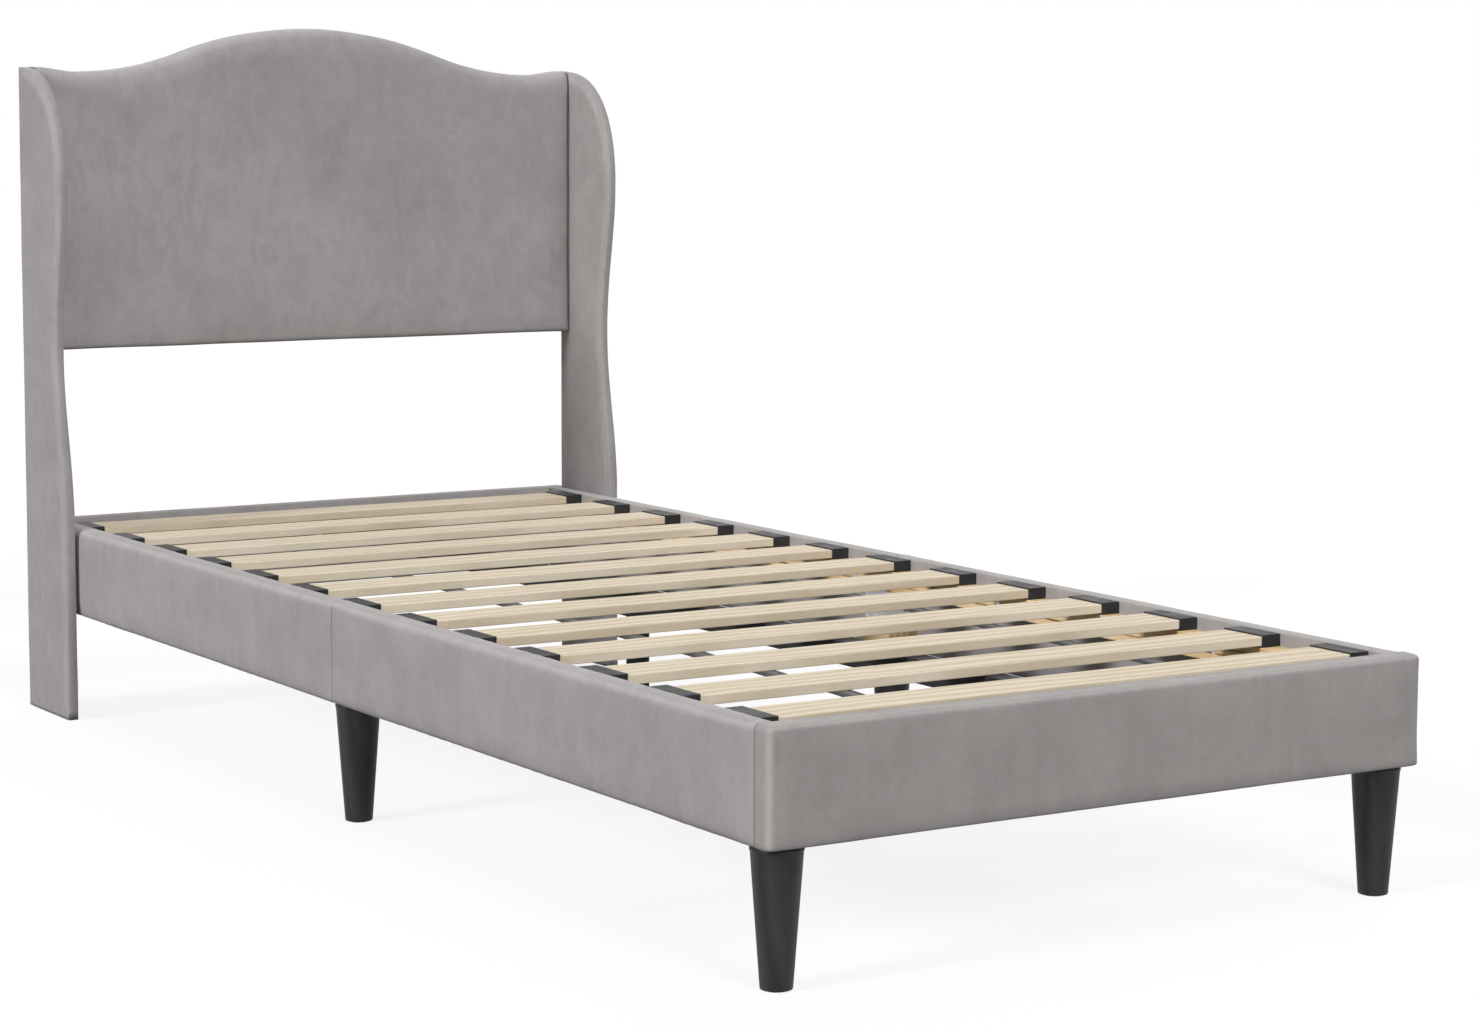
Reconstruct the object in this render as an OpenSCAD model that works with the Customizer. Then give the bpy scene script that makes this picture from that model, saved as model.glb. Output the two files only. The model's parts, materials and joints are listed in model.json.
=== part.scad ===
// Upholstered single bed frame with a winged, camel-backed headboard.
// The floor is z = 0, the foot end faces -Y and the headboard stands at +Y.

/* [Frame] */
// Width across the outside of the side rails
frame_w = 930; // [850:5:1010]
// Length from the face of the foot panel to the back of the wings
frame_l = 2116; // [2016:2:2216]
// Clear height under the rails
leg_h = 160; // [120:1:220]
// Height of the rails and of the foot panel
rail_h = 135; // [124:1:170]
// Depth of the slat deck below the top of the rails
deck_drop = 5; // [1:0.5:8]

/* [Padding and boards] */
// Wadding and velvet on the faces that show
pad_t = 7; // [4:0.5:12]
// Velvet folded over the hidden faces
cloth_t = 2; // [1:0.5:4]
// Board inside the side rails and the foot panel
board_t = 18; // [15:1:25]
// Board inside the head rail
head_board_t = 14; // [12:1:20]
// Radius of the padded upper edges
top_edge_r = 11; // [8:0.5:14]
// Radius of the other padded edges
small_edge_r = 4; // [3:0.5:5]
// Radius of the upright corners of the foot panel
corner_r = 9.5; // [4:0.5:10]

/* [Headboard panel] */
// Lower edge of the panel above the floor
panel_bottom = 559; // [500:1:620]
// Top of the middle crest above the floor
crest_z = 1064; // [1040:1:1100]
// Lowest point of the top edge above the floor
dip_z = 992.5; // [980:0.5:1010]
// Distance of the lowest point from the middle
dip_x = 400; // [370:5:430]
// Radius of the middle crest
crest_r = 650; // [550:10:750]
// Height of the small rise beside the wings
shoulder_h = 6.6; // [3:0.2:12]
// Width over which the edge rises there
shoulder_w = 62; // [40:1:68]
// Foam on the front of the panel board
foam_t = 12; // [8:1:20]
// Velvet over the foam
velvet_t = 2; // [1:0.5:3]
// Board inside the panel
panel_board_t = 18; // [15:1:22]
// Dust cloth on the back of the panel
back_cloth_t = 1; // [0.5:0.5:2]
// Radius of the panel's front edges
panel_edge_r = 12; // [8:1:14]
// Padding round the edge of the panel board
panel_wrap = 5; // [3:0.5:8]
// Width of the velvet turned over the back
back_turn = 45; // [30:1:70]

/* [Wings] */
// Top of the wings above the floor
wing_top = 999; // [960:1:1030]
// Depth of the wings at the floor
wing_foot_d = 167; // [155:1:190]
// Depth of the wings at the widest upper point
wing_bulge_d = 164; // [150:1:185]
// Height of that widest point
wing_bulge_z = 813; // [770:1:850]
// Depth of the wings at the waist
wing_waist_d = 136.5; // [125:0.5:150]
// Height of the waist
wing_waist_z = 570; // [500:1:640]
// Height where the flare below the waist ends
wing_flare_z = 300; // [240:1:380]
// Exponent of the rounded top corner, 2 being an ellipse
wing_power = 2.25; // [2:0.05:3]
// Board inside the wings
wing_board_t = 12; // [9:1:18]
// Velvet on the faces of the wings
wing_cloth_t = 2; // [1:0.5:4]
// Padding round the edge of the wing board
wing_wrap = 5; // [3:0.5:8]
// Radius of the wing's edges
wing_edge_r = 6; // [4:0.5:7]
// Space between the wings and the rails
wing_gap = 6.5; // [2:0.5:12]

/* [Legs] */
// Radius of the leg at the top
leg_top_r = 30; // [24:0.5:34]
// Radius of the leg at the floor
leg_foot_r = 18.2; // [16:0.1:22]
// Height of the rim at the top of the leg
leg_rim_h = 5; // [3:0.5:8]
// Step from the rim to the tapered shank
leg_rim_step = 0.8; // [0.4:0.1:1.5]
// Leg centre to the outside of the rail
leg_inset_x = 36.5; // [34:0.5:46]
// Leg centre to the face of the foot panel
leg_inset_y = 38.3; // [36:0.1:50]
// Middle legs to the joint between the rail halves
mid_leg_shift = 4.5; // [0:0.5:12]
// Steel plate between leg and block
leg_plate_t = 2; // [1:0.5:4]
// Felt pad standing out of the leg's foot
felt_stand = 1; // [0.5:0.5:3]
// Strips under the wings
wing_glide_t = 2; // [1:0.5:5]
// Width of those strips
wing_glide_w = 12; // [8:0.5:14]
// Strip's ends to the front and back of the wings
wing_glide_inset = 8; // [7:0.5:20]
// Width of the leg blocks
block_w = 50; // [44:1:60]
// Height of the leg blocks
block_h = 34; // [28:1:38]
// Length of the corner blocks
corner_block_l = 70; // [60:1:90]
// Length of the middle blocks
mid_block_l = 100; // [90:1:140]

/* [Slat deck] */
// Width of a slat
slat_w = 70; // [50:1:90]
// Thickness of a slat
slat_t = 12; // [8:0.5:16]
// Foot panel or head rail to the middle of the nearest slat
slat_end = 75; // [60:1:100]
// Wall of the plastic slat holders
holder_wall = 2; // [1:0.5:3]
// Length of the slat holders
holder_l = 28; // [20:1:36]
// Play between a holder and the rail
holder_play = 0.5; // [0.2:0.1:1]
// Width and height of the ledgers
ledger_w = 30; // [26:1:36]
// Space between the two ledgers of a side
ledger_gap = 1; // [0.5:0.5:4]
// Distance of the webbing straps from the middle
strap_x = 220; // [150:5:300]
// Width of the webbing straps
strap_w = 30; // [20:1:40]
// Thickness of the webbing straps
strap_t = 1.2; // [0.8:0.1:2]

/* [Middle beam] */
// Width and height of the beam tube
beam_w = 30; // [25:1:36]
// Wall of the beam tube and its joiner
beam_wall = 1.5; // [1:0.5:3]
// Length of the joiner inside the beam
joiner_l = 200; // [120:10:300]
// Radius of the middle leg tube
tube_r = 16; // [14:0.5:20]
// Wall of the middle leg tube
tube_wall = 1.5; // [1:0.5:2]
// Clearance in the threads, which are drawn plain
thread_play = 0.05; // [0.02:0.01:0.1]
// Radius of the screw-in foot
foot_r = 20; // [18:0.5:26]
// Height of the screw-in foot's pad
foot_h = 8; // [6:0.5:12]
// Radius of the foot's threaded rod
rod_r = 5; // [4:0.5:6]
// Length of the foot's threaded rod
rod_l = 52; // [45:1:70]
// Height of the threaded plug in the leg tube
plug_h = 32; // [20:1:40]

/* [Fixings] */
// Thickness of the steel brackets and joint plates
steel_t = 3; // [2:0.5:4]
// Length of each arm of the corner brackets
bracket_arm = 36; // [32:1:44]
// Length of the plates across the rail joints
splice_l = 150; // [140:5:200]
// Radius of the wood screws
screw_r = 2.2; // [1.8:0.1:2.6]
// Radius of the screw heads
screw_head_r = 4.5; // [3.5:0.1:5]
// Height of the screw heads
screw_head_h = 2.5; // [2:0.1:3]
// Depth that screws reach into a board
screw_bite = 12; // [8:0.5:13]
// Radius of the machine bolts
bolt_r = 3; // [2.5:0.1:4]
// Play round a machine bolt in its holes
bolt_play = 0.25; // [0.1:0.05:0.5]
// Radius of the bolt heads in the wing boards
bolt_head_r = 6; // [5:0.1:7]
// Height of the bolt heads
bolt_head_h = 5; // [4:0.1:6]
// Radius of the rail bolts' flanges and of the spacers
flange_r = 9; // [8:0.1:10]
// Thickness of the rail bolts' flanges
flange_t = 1.5; // [1:0.1:2.5]
// Radius of the threaded inserts in the wings
insert_r = 4.8; // [4.5:0.1:6]
// Length of the threaded inserts in the wings
insert_l = 8; // [6:0.5:9]
// Wing bolts nearest the back, measured from the back
wing_bolt_back = 78; // [70:1:90]
// Spacing of the wing bolts along the rail
wing_bolt_pitch = 55; // [40:1:60]
// Length of the bolts that hold the panel to the wings
panel_bolt_l = 60; // [50:1:80]
// Lower edge of the panel to its lowest bolt
panel_bolt_up = 60; // [40:1:90]
// Lowest point of the panel's top edge, or the wings' top if lower, to the panel's highest bolt
panel_bolt_down = 64; // [50:1:90]
// Wood left behind the bolt heads in the wing boards
bolt_head_edge = 1; // [0.5:0.5:3]
// Radius of the barrel nuts
barrel_r = 5; // [4.5:0.1:6]
// Radius of the leg bolts
leg_bolt_r = 4; // [3:0.1:5]
// Depth of the leg bolts in the leg
leg_bolt_down = 45; // [30:1:60]
// Height of the leg bolts in the block
leg_bolt_up = 26; // [20:1:27]

/* [Hidden] */
$fn = 48;

velvet_colour = [0.60, 0.58, 0.57];
leg_colour = [0.18, 0.18, 0.19];
board_colour = [0.72, 0.62, 0.47];
ply_colour = [0.85, 0.75, 0.58];
steel_colour = [0.55, 0.56, 0.58];
black_colour = [0.10, 0.10, 0.11];
foam_colour = [0.93, 0.90, 0.82];

// Overall places
foot_y = -frame_l / 2;
back_y = frame_l / 2;
rail_t = pad_t + board_t + cloth_t;
head_rail_t = head_board_t + 2 * cloth_t;
rail_top = leg_h + rail_h;
rail_out = frame_w / 2;
rail_in = rail_out - rail_t;
rail_y0 = foot_y + rail_t;
rail_y1 = back_y - head_rail_t;
joint_y = (rail_y0 + rail_y1) / 2;

// Heights of the slat deck and of what carries it
slat_count = 13;
slat_z1 = rail_top - deck_drop;
slat_z0 = slat_z1 - slat_t;
ledger_z1 = slat_z0 - holder_wall;
ledger_z0 = ledger_z1 - ledger_w;
beam_z0 = slat_z0 - beam_w;
slat_half = rail_in - holder_play - holder_wall;
slat_pitch = (rail_y1 - rail_y0 - 2 * slat_end) / (slat_count - 1);

// The space left between the leg blocks and the ledgers for steel plates
plate_play = 2;
plate_z0 = leg_h + block_h + plate_play;
plate_z1 = ledger_z0 - plate_play;
plate_mid_z = (plate_z0 + plate_z1) / 2;

// Wings and headboard panel
wing_t = wing_board_t + 2 * wing_cloth_t;
wing_in = rail_out + wing_gap;
wing_out = wing_in + wing_t;
panel_t = velvet_t + foam_t + panel_board_t + back_cloth_t;
panel_y0 = back_y - panel_t;
panel_board_y0 = panel_y0 + velvet_t + foam_t;
panel_board_y1 = back_y - back_cloth_t;
foam_inset = panel_edge_r;
columns = 48;
edge_steps = 4;

// The crest and the dip are arcs that meet smoothly
crest_h = crest_z - dip_z;
arc_sum = (dip_x * dip_x + crest_h * crest_h) / (2 * crest_h);
dip_r = arc_sum - crest_r;
meet_x = dip_x * crest_r / arc_sum;

// Legs
leg_x = rail_out - leg_inset_x;
leg_foot_y = foot_y + leg_inset_y;
leg_mid_y = joint_y - mid_leg_shift;
leg_places = [[leg_x, leg_foot_y], [leg_x, leg_mid_y]];
leg_z1 = leg_h - leg_plate_t;
felt_r = leg_foot_r - 4;
felt_t = 3;
block_in = rail_in - block_w;
block_screw_z = leg_h + block_h / 2;

// Screws along the ledgers and plates
ledger_screws_each = 5;
ledger_screw_end = 60;
ledger_screw_z = (ledger_z0 + ledger_z1) / 2;
splice_screw_ys = [for (step = [-2, -1, 1, 2]) joint_y + step * splice_l / 6];
arm_screws = [bracket_arm / 3, bracket_arm * 4 / 5];
saddle_w = beam_w + 2 * steel_t;
saddle_l = 40;
saddle_ear = 16;
saddle_screw_x = saddle_w / 2 + saddle_ear / 2;
saddle_screw_z = beam_z0 + beam_w / 2;
corner_screw_ys = [for (part = [0.4, 0.85]) rail_y0 + part * corner_block_l];
mid_screw_ys = [for (side = [-1, 1]) leg_mid_y + side * mid_block_l / 3];

// Bolts between wing and rail, and between wing and panel
wing_bolt_ys = [back_y - wing_bolt_back - wing_bolt_pitch, back_y - wing_bolt_back];
wing_bolt_zs = [leg_h + block_h / 2 + flange_r, ledger_z0 - flange_r - plate_play];
panel_bolt_z0 = panel_bottom + panel_bolt_up;
panel_bolt_z1 = min(wing_top, dip_z) - panel_bolt_down;
panel_bolt_zs = [panel_bolt_z0, (panel_bolt_z0 + panel_bolt_z1) / 2, panel_bolt_z1];
panel_bolt_y = min((panel_board_y0 + panel_board_y1) / 2,
    back_y - wing_wrap - bolt_head_r - bolt_head_edge);
panel_bolt_x1 = wing_out - wing_cloth_t - bolt_head_h;
panel_bolt_x0 = panel_bolt_x1 - panel_bolt_l;
barrel_x = panel_bolt_x0 + 2 * barrel_r;
barrel_l = panel_board_t - 2;

// A block between its lowest and highest corner
module block(low, high) {
    translate(low) cube(high - low);
}

// One copy on the right as drawn and one on the left
module both_sides() {
    children();
    mirror([1, 0, 0]) children();
}

// The right-hand drawing, or its mirror image for the left
module on_side(side) {
    if (side == "right") children();
    else mirror([1, 0, 0]) children();
}

// The drawing at the foot end, or its mirror image at the head end
module on_end(end) {
    if (end == "foot") children();
    else translate([0, 2 * joint_y, 0]) mirror([0, 1, 0]) children();
}

module both_ends() {
    on_end("foot") children();
    on_end("head") children();
}

// What is cut away to round one corner of a square outline
module corner_waste(r) {
    difference() {
        square(r);
        translate([r, r]) circle(r);
    }
}

// Outline with its lower left corner at the origin and four radii, anticlockwise from there
module rounded_outline(w, h, radii) {
    difference() {
        square([w, h]);
        corner_waste(radii[0]);
        translate([w, 0]) rotate(90) corner_waste(radii[1]);
        translate([w, h]) rotate(180) corner_waste(radii[2]);
        translate([0, h]) rotate(270) corner_waste(radii[3]);
    }
}

// Runs an outline drawn in X and Z from y0 to y1
module along_y(y0, y1) {
    translate([0, y1, 0]) rotate([90, 0, 0]) linear_extrude(y1 - y0) children();
}

// Runs an outline drawn in Y and Z from x0 to x1
module along_x(x0, x1) {
    translate([x0, 0, 0]) rotate([90, 0, 90]) linear_extrude(x1 - x0) children();
}

// A hole or shaft from x0 to x1
module rod_x(r, x0, x1, y, z) {
    translate([x0, y, z]) rotate([0, 90, 0]) cylinder(r = r, h = x1 - x0);
}

// A hole or shaft from y0 to y1
module rod_y(r, y0, y1, x, z) {
    translate([x, y1, z]) rotate([90, 0, 0]) cylinder(r = r, h = y1 - y0);
}

// A closed skin through rings of equal length, each running out along one edge and back along the other
module loft(rings) {
    n = len(rings[0]);
    last = (len(rings) - 1) * n;
    walls = [for (k = [0 : len(rings) - 2], i = [0 : n - 1])
        let (j = (i + 1) % n, a = k * n, b = a + n)
        each [[a + i, a + j, b + j], [a + i, b + j, b + i]]];
    first_cap = [for (i = [0 : n / 2 - 2])
        each [[i, n - 1 - i, n - 2 - i], [i, n - 2 - i, i + 1]]];
    last_cap = [for (i = [0 : n / 2 - 2])
        each [[last + i, last + n - 2 - i, last + n - 1 - i], [last + i, last + i + 1, last + n - 2 - i]]];
    polyhedron(points = [for (ring = rings) each ring], faces = concat(walls, first_cap, last_cap));
}

// Depth below a face and inset of the outline, round an edge of radius r
function edge_rings(r) = [for (k = [0 : edge_steps])
    let (a = 90 * k / edge_steps) [r * (1 - cos(a)), r * (1 - sin(a))]];

// Height of the panel's top edge at x
function top_z(x) =
    let (a = abs(x))
    a <= meet_x ? crest_z - crest_r + sqrt(crest_r * crest_r - a * a)
    : a <= dip_x ? dip_z + dip_r - sqrt(dip_r * dip_r - (dip_x - a) * (dip_x - a))
    : dip_z + shoulder_h * ease(min(1, (a - dip_x) / shoulder_w));

// The panel's outline moved inwards, along the bottom and back along the top
function panel_ring(inset) =
    let (half = wing_in - inset, xs = [for (i = [0 : columns]) half * (2 * i / columns - 1)])
    concat([for (x = xs) [x, panel_bottom + inset]],
        [for (i = [0 : columns]) let (x = xs[columns - i]) [x, top_z(x) - inset]]);

function ease(part) = (1 - cos(180 * part)) / 2;

// Front edge of a wing, from the floor up, as depth from the back and height
function wing_front(inset) = concat(
    [[wing_foot_d - inset, wing_glide_t + inset]],
    [for (k = [0 : 8]) [
        wing_waist_d + (wing_foot_d - wing_waist_d) * ease(1 - k / 8) - inset,
        wing_flare_z + (wing_waist_z - wing_flare_z) * k / 8]],
    [for (k = [1 : 8]) [
        wing_waist_d + (wing_bulge_d - wing_waist_d) * ease(k / 8) - inset,
        wing_waist_z + (wing_bulge_z - wing_waist_z) * k / 8]],
    [for (k = [1 : 12]) let (a = 82 * k / 12) [
        (wing_bulge_d - inset) * pow(cos(a), 2 / wing_power),
        wing_bulge_z + (wing_top - wing_bulge_z - inset) * pow(sin(a), 2 / wing_power)]]);

// The wing's outline moved inwards, up the back edge and down the front edge, in Y and Z
function wing_ring(inset) =
    let (front = wing_front(inset), n = len(front))
    concat([for (i = [0 : n - 1]) [back_y - inset, i == n - 1 ? wing_top - inset : front[i][1]]],
        [for (i = [0 : n - 1]) let (p = front[n - 1 - i]) [back_y - p[0], p[1]]]);

// Shafts of the bolts between the wings and the rails
module wing_bolt_holes(r, x0, x1) {
    for (y = wing_bolt_ys, z = wing_bolt_zs) rod_x(r, x0, x1, y, z);
}

// Shafts of the bolts between the wings and the panel
module panel_bolt_holes(r, x0, x1) {
    for (z = panel_bolt_zs) rod_x(r, x0, x1, panel_bolt_y, z);
}

module barrel_nut_holes() {
    for (z = panel_bolt_zs) rod_y(barrel_r, panel_board_y1 - barrel_l, panel_board_y1, barrel_x, z);
}

function ledger_screw_y(k) = rail_y0 + ledger_screw_end
    + k * (joint_y - rail_y0 - 2 * ledger_screw_end) / (ledger_screws_each - 1);

// Screws that enter a side rail from inside the frame, without their heads
module rail_screw_shafts() {
    screw_x1 = rail_in + cloth_t + screw_bite;
    for (k = [0 : ledger_screws_each - 1]) both_ends()
        rod_x(screw_r, rail_in - ledger_w + screw_head_h, screw_x1, ledger_screw_y(k), ledger_screw_z);
    for (y = splice_screw_ys) rod_x(screw_r, rail_in - steel_t, screw_x1, y, plate_mid_z);
    for (arm = arm_screws) both_ends()
        rod_x(screw_r, rail_in - steel_t, screw_x1, rail_y0 + arm, plate_mid_z);
    for (y = concat(corner_screw_ys, mid_screw_ys))
        rod_x(screw_r, block_in, screw_x1, y, block_screw_z);
}

// Screws that enter the foot panel or the head rail from inside the frame, without their heads
module end_screw_shafts() {
    y0 = rail_y0 - cloth_t - screw_bite;
    for (arm = arm_screws) both_sides() rod_y(screw_r, y0, rail_y0 + steel_t, rail_in - arm, plate_mid_z);
    both_sides() rod_y(screw_r, y0, rail_y0 + steel_t, saddle_screw_x, saddle_screw_z);
}

module headboard_board() {
    color(board_colour) difference() {
        along_y(panel_board_y0, panel_board_y1) polygon(panel_ring(panel_wrap));
        both_sides() panel_bolt_holes(bolt_r + bolt_play, panel_bolt_x0 - 1, wing_in);
        both_sides() barrel_nut_holes();
    }
}

module headboard_foam() {
    color(foam_colour) along_y(panel_y0 + velvet_t, panel_board_y0) polygon(panel_ring(foam_inset));
}

module headboard_cover() {
    front = [for (e = edge_rings(panel_edge_r)) [for (p = panel_ring(e[1])) [p[0], panel_y0 + e[0], p[1]]]];
    back = [for (p = panel_ring(0)) [p[0], back_y, p[1]]];
    color(velvet_colour) difference() {
        loft(concat(front, [back]));
        along_y(panel_y0 + velvet_t, panel_board_y0) polygon(panel_ring(foam_inset));
        along_y(panel_board_y0, panel_board_y1) polygon(panel_ring(panel_wrap));
        along_y(panel_board_y1, back_y + 1) polygon(panel_ring(back_turn));
        both_sides() panel_bolt_holes(bolt_r + bolt_play, wing_in - panel_wrap - 1, wing_in + 1);
    }
}

module headboard_back_cloth() {
    color(black_colour) along_y(panel_board_y1, back_y) polygon(panel_ring(back_turn));
}

module wing_board() {
    board_x0 = wing_in + wing_cloth_t;
    board_x1 = wing_out - wing_cloth_t;
    difference() {
        along_x(board_x0, board_x1) polygon(wing_ring(wing_wrap));
        wing_bolt_holes(insert_r, board_x0 - 1, board_x0 + insert_l);
        panel_bolt_holes(bolt_r + bolt_play, board_x0 - 1, board_x1 + 1);
        panel_bolt_holes(bolt_head_r, panel_bolt_x1, board_x1 + 1);
    }
}

module wing_cover() {
    rings = edge_rings(wing_edge_r);
    inner = [for (e = rings) [for (p = wing_ring(e[1])) [wing_in + e[0], p[0], p[1]]]];
    outer = [for (k = [edge_steps : -1 : 0])
        [for (p = wing_ring(rings[k][1])) [wing_out - rings[k][0], p[0], p[1]]]];
    difference() {
        loft(concat(inner, outer));
        along_x(wing_in + wing_cloth_t, wing_out - wing_cloth_t) polygon(wing_ring(wing_wrap));
        wing_bolt_holes(bolt_r + bolt_play, wing_in - 1, wing_in + wing_cloth_t + 1);
        panel_bolt_holes(bolt_r + bolt_play, wing_in - 1, wing_in + wing_cloth_t + 1);
    }
}

module wing_board_left() {
    color(board_colour) on_side("left") wing_board();
}

module wing_board_right() {
    color(board_colour) on_side("right") wing_board();
}

module wing_cover_left() {
    color(velvet_colour) on_side("left") wing_cover();
}

module wing_cover_right() {
    color(velvet_colour) on_side("right") wing_cover();
}

// Strips with rounded ends, nailed under the wings
module wing_glides() {
    glide_l = wing_foot_d - 2 * wing_glide_inset;
    glide_r = wing_glide_w / 2 - 1;
    color(black_colour) both_sides()
        translate([(wing_in + wing_out - wing_glide_w) / 2, back_y - wing_foot_d + wing_glide_inset, 0])
            linear_extrude(wing_glide_t)
                rounded_outline(wing_glide_w, glide_l, [glide_r, glide_r, glide_r, glide_r]);
}

// Bolts through the wing board into the panel, each with its barrel nut
module headboard_bolts() {
    color(steel_colour) both_sides() {
        panel_bolt_holes(bolt_r, panel_bolt_x0, panel_bolt_x1);
        panel_bolt_holes(bolt_head_r, panel_bolt_x1, panel_bolt_x1 + bolt_head_h);
        difference() {
            barrel_nut_holes();
            panel_bolt_holes(bolt_r + thread_play, panel_bolt_x0 - 1, panel_bolt_x1);
        }
    }
}

// Flanged bolts from inside the rail into the wing, each with its threaded insert
module wing_bolts() {
    insert_x0 = wing_in + wing_cloth_t;
    insert_x1 = insert_x0 + insert_l;
    flange_x0 = rail_in - flange_t;
    color(steel_colour) both_sides() {
        wing_bolt_holes(bolt_r, flange_x0, insert_x1);
        wing_bolt_holes(flange_r, flange_x0, rail_in);
        wing_bolt_holes(bolt_head_r, flange_x0 - bolt_head_h, flange_x0);
        difference() {
            wing_bolt_holes(insert_r, insert_x0, insert_x1);
            wing_bolt_holes(bolt_r + thread_play, insert_x0 - 1, insert_x1 + 1);
        }
    }
}

module wing_spacers() {
    color(black_colour) both_sides() difference() {
        wing_bolt_holes(flange_r, rail_out, wing_in);
        wing_bolt_holes(bolt_r + bolt_play, rail_out - 1, wing_in + 1);
    }
}

// Board shared by the foot panel and, with other thicknesses, the head rail
module cross_board(y0, y1, side_pad, top_pad) {
    block([side_pad - rail_out, y0, leg_h + cloth_t], [rail_out - side_pad, y1, rail_top - top_pad]);
}

module foot_board() {
    color(board_colour) difference() {
        cross_board(foot_y + pad_t, rail_y0 - cloth_t, pad_t, pad_t);
        end_screw_shafts();
    }
}

// The velvet wraps the board; its front corners are rounded
module foot_cover() {
    color(velvet_colour) difference() {
        intersection() {
            along_x(-rail_out, rail_out) translate([foot_y, leg_h])
                rounded_outline(rail_t, rail_h, [small_edge_r, cloth_t, small_edge_r, top_edge_r]);
            translate([-rail_out, foot_y, leg_h]) linear_extrude(rail_h)
                rounded_outline(frame_w, rail_t, [corner_r, corner_r, cloth_t, cloth_t]);
        }
        cross_board(foot_y + pad_t, rail_y0 - cloth_t, pad_t, pad_t);
        end_screw_shafts();
    }
}

module head_rail_board() {
    color(board_colour) difference() {
        cross_board(rail_y1 + cloth_t, back_y - cloth_t, cloth_t, cloth_t);
        on_end("head") end_screw_shafts();
    }
}

module head_rail_cover() {
    color(velvet_colour) difference() {
        along_x(-rail_out, rail_out) translate([rail_y1, leg_h])
            rounded_outline(head_rail_t, rail_h, [cloth_t, cloth_t, cloth_t, cloth_t]);
        cross_board(rail_y1 + cloth_t, back_y - cloth_t, cloth_t, cloth_t);
        on_end("head") end_screw_shafts();
    }
}

// Length of one rail half at the foot or head end
function half_y0(end) = end == "foot" ? rail_y0 : joint_y;
function half_y1(end) = end == "foot" ? joint_y : rail_y1;

module rail_board_outline() {
    translate([rail_in + cloth_t, leg_h + cloth_t]) square([board_t, rail_h - pad_t - cloth_t]);
}

module rail_holes() {
    rail_screw_shafts();
    wing_bolt_holes(bolt_r + bolt_play, rail_in - 1, rail_out + 1);
}

module rail_board(end, side) {
    color(board_colour) on_side(side) difference() {
        along_y(half_y0(end), half_y1(end)) rail_board_outline();
        rail_holes();
    }
}

module rail_cover(end, side) {
    color(velvet_colour) on_side(side) difference() {
        along_y(half_y0(end), half_y1(end)) difference() {
            translate([rail_in, leg_h])
                rounded_outline(rail_t, rail_h, [cloth_t, small_edge_r, top_edge_r, small_edge_r]);
            rail_board_outline();
        }
        rail_holes();
    }
}

module rail_board_foot_left() rail_board("foot", "left");
module rail_board_foot_right() rail_board("foot", "right");
module rail_board_head_left() rail_board("head", "left");
module rail_board_head_right() rail_board("head", "right");
module rail_cover_foot_left() rail_cover("foot", "left");
module rail_cover_foot_right() rail_cover("foot", "right");
module rail_cover_head_left() rail_cover("head", "left");
module rail_cover_head_right() rail_cover("head", "right");

// Battens that carry the slat ends, one on each rail half
module ledgers() {
    color(ply_colour) both_sides() both_ends() difference() {
        block([rail_in - ledger_w, rail_y0, ledger_z0], [rail_in, joint_y - ledger_gap / 2, ledger_z1]);
        for (k = [0 : ledger_screws_each - 1]) {
            rod_x(screw_r, rail_in - ledger_w, rail_in + 1, ledger_screw_y(k), ledger_screw_z);
            rod_x(screw_head_r, rail_in - ledger_w - 1, rail_in - ledger_w + screw_head_h,
                ledger_screw_y(k), ledger_screw_z);
        }
    }
}

// Steel plates across the joints between the rail halves
module rail_splices() {
    color(steel_colour) both_sides() difference() {
        block([rail_in - steel_t, joint_y - splice_l / 2, plate_z0],
            [rail_in, joint_y + splice_l / 2, plate_z1]);
        rail_screw_shafts();
    }
}

// Steel angles in the four inner corners
module corner_brackets() {
    color(steel_colour) both_sides() both_ends() difference() {
        union() {
            block([rail_in - steel_t, rail_y0, plate_z0], [rail_in, rail_y0 + bracket_arm, plate_z1]);
            block([rail_in - bracket_arm, rail_y0, plate_z0], [rail_in, rail_y0 + steel_t, plate_z1]);
        }
        rail_screw_shafts();
        end_screw_shafts();
    }
}

// Screws of the brackets, joint plates, beam saddles and leg blocks
module frame_screws() {
    shaft_x1 = rail_in + cloth_t + screw_bite;
    shaft_y0 = rail_y0 - cloth_t - screw_bite;
    plate_x = rail_in - steel_t;
    plate_y = rail_y0 + steel_t;
    color(steel_colour) both_sides() {
        for (y = splice_screw_ys) {
            rod_x(screw_r, plate_x, shaft_x1, y, plate_mid_z);
            rod_x(screw_head_r, plate_x - screw_head_h, plate_x, y, plate_mid_z);
        }
        for (y = concat(corner_screw_ys, mid_screw_ys)) {
            rod_x(screw_r, block_in, shaft_x1, y, block_screw_z);
            rod_x(screw_head_r, block_in - screw_head_h, block_in, y, block_screw_z);
        }
        both_ends() {
            for (arm = arm_screws) {
                rod_x(screw_r, plate_x, shaft_x1, rail_y0 + arm, plate_mid_z);
                rod_x(screw_head_r, plate_x - screw_head_h, plate_x, rail_y0 + arm, plate_mid_z);
                rod_y(screw_r, shaft_y0, plate_y, rail_in - arm, plate_mid_z);
                rod_y(screw_head_r, plate_y, plate_y + screw_head_h, rail_in - arm, plate_mid_z);
            }
            rod_y(screw_r, shaft_y0, plate_y, saddle_screw_x, saddle_screw_z);
            rod_y(screw_head_r, plate_y, plate_y + screw_head_h, saddle_screw_x, saddle_screw_z);
        }
    }
}

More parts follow.
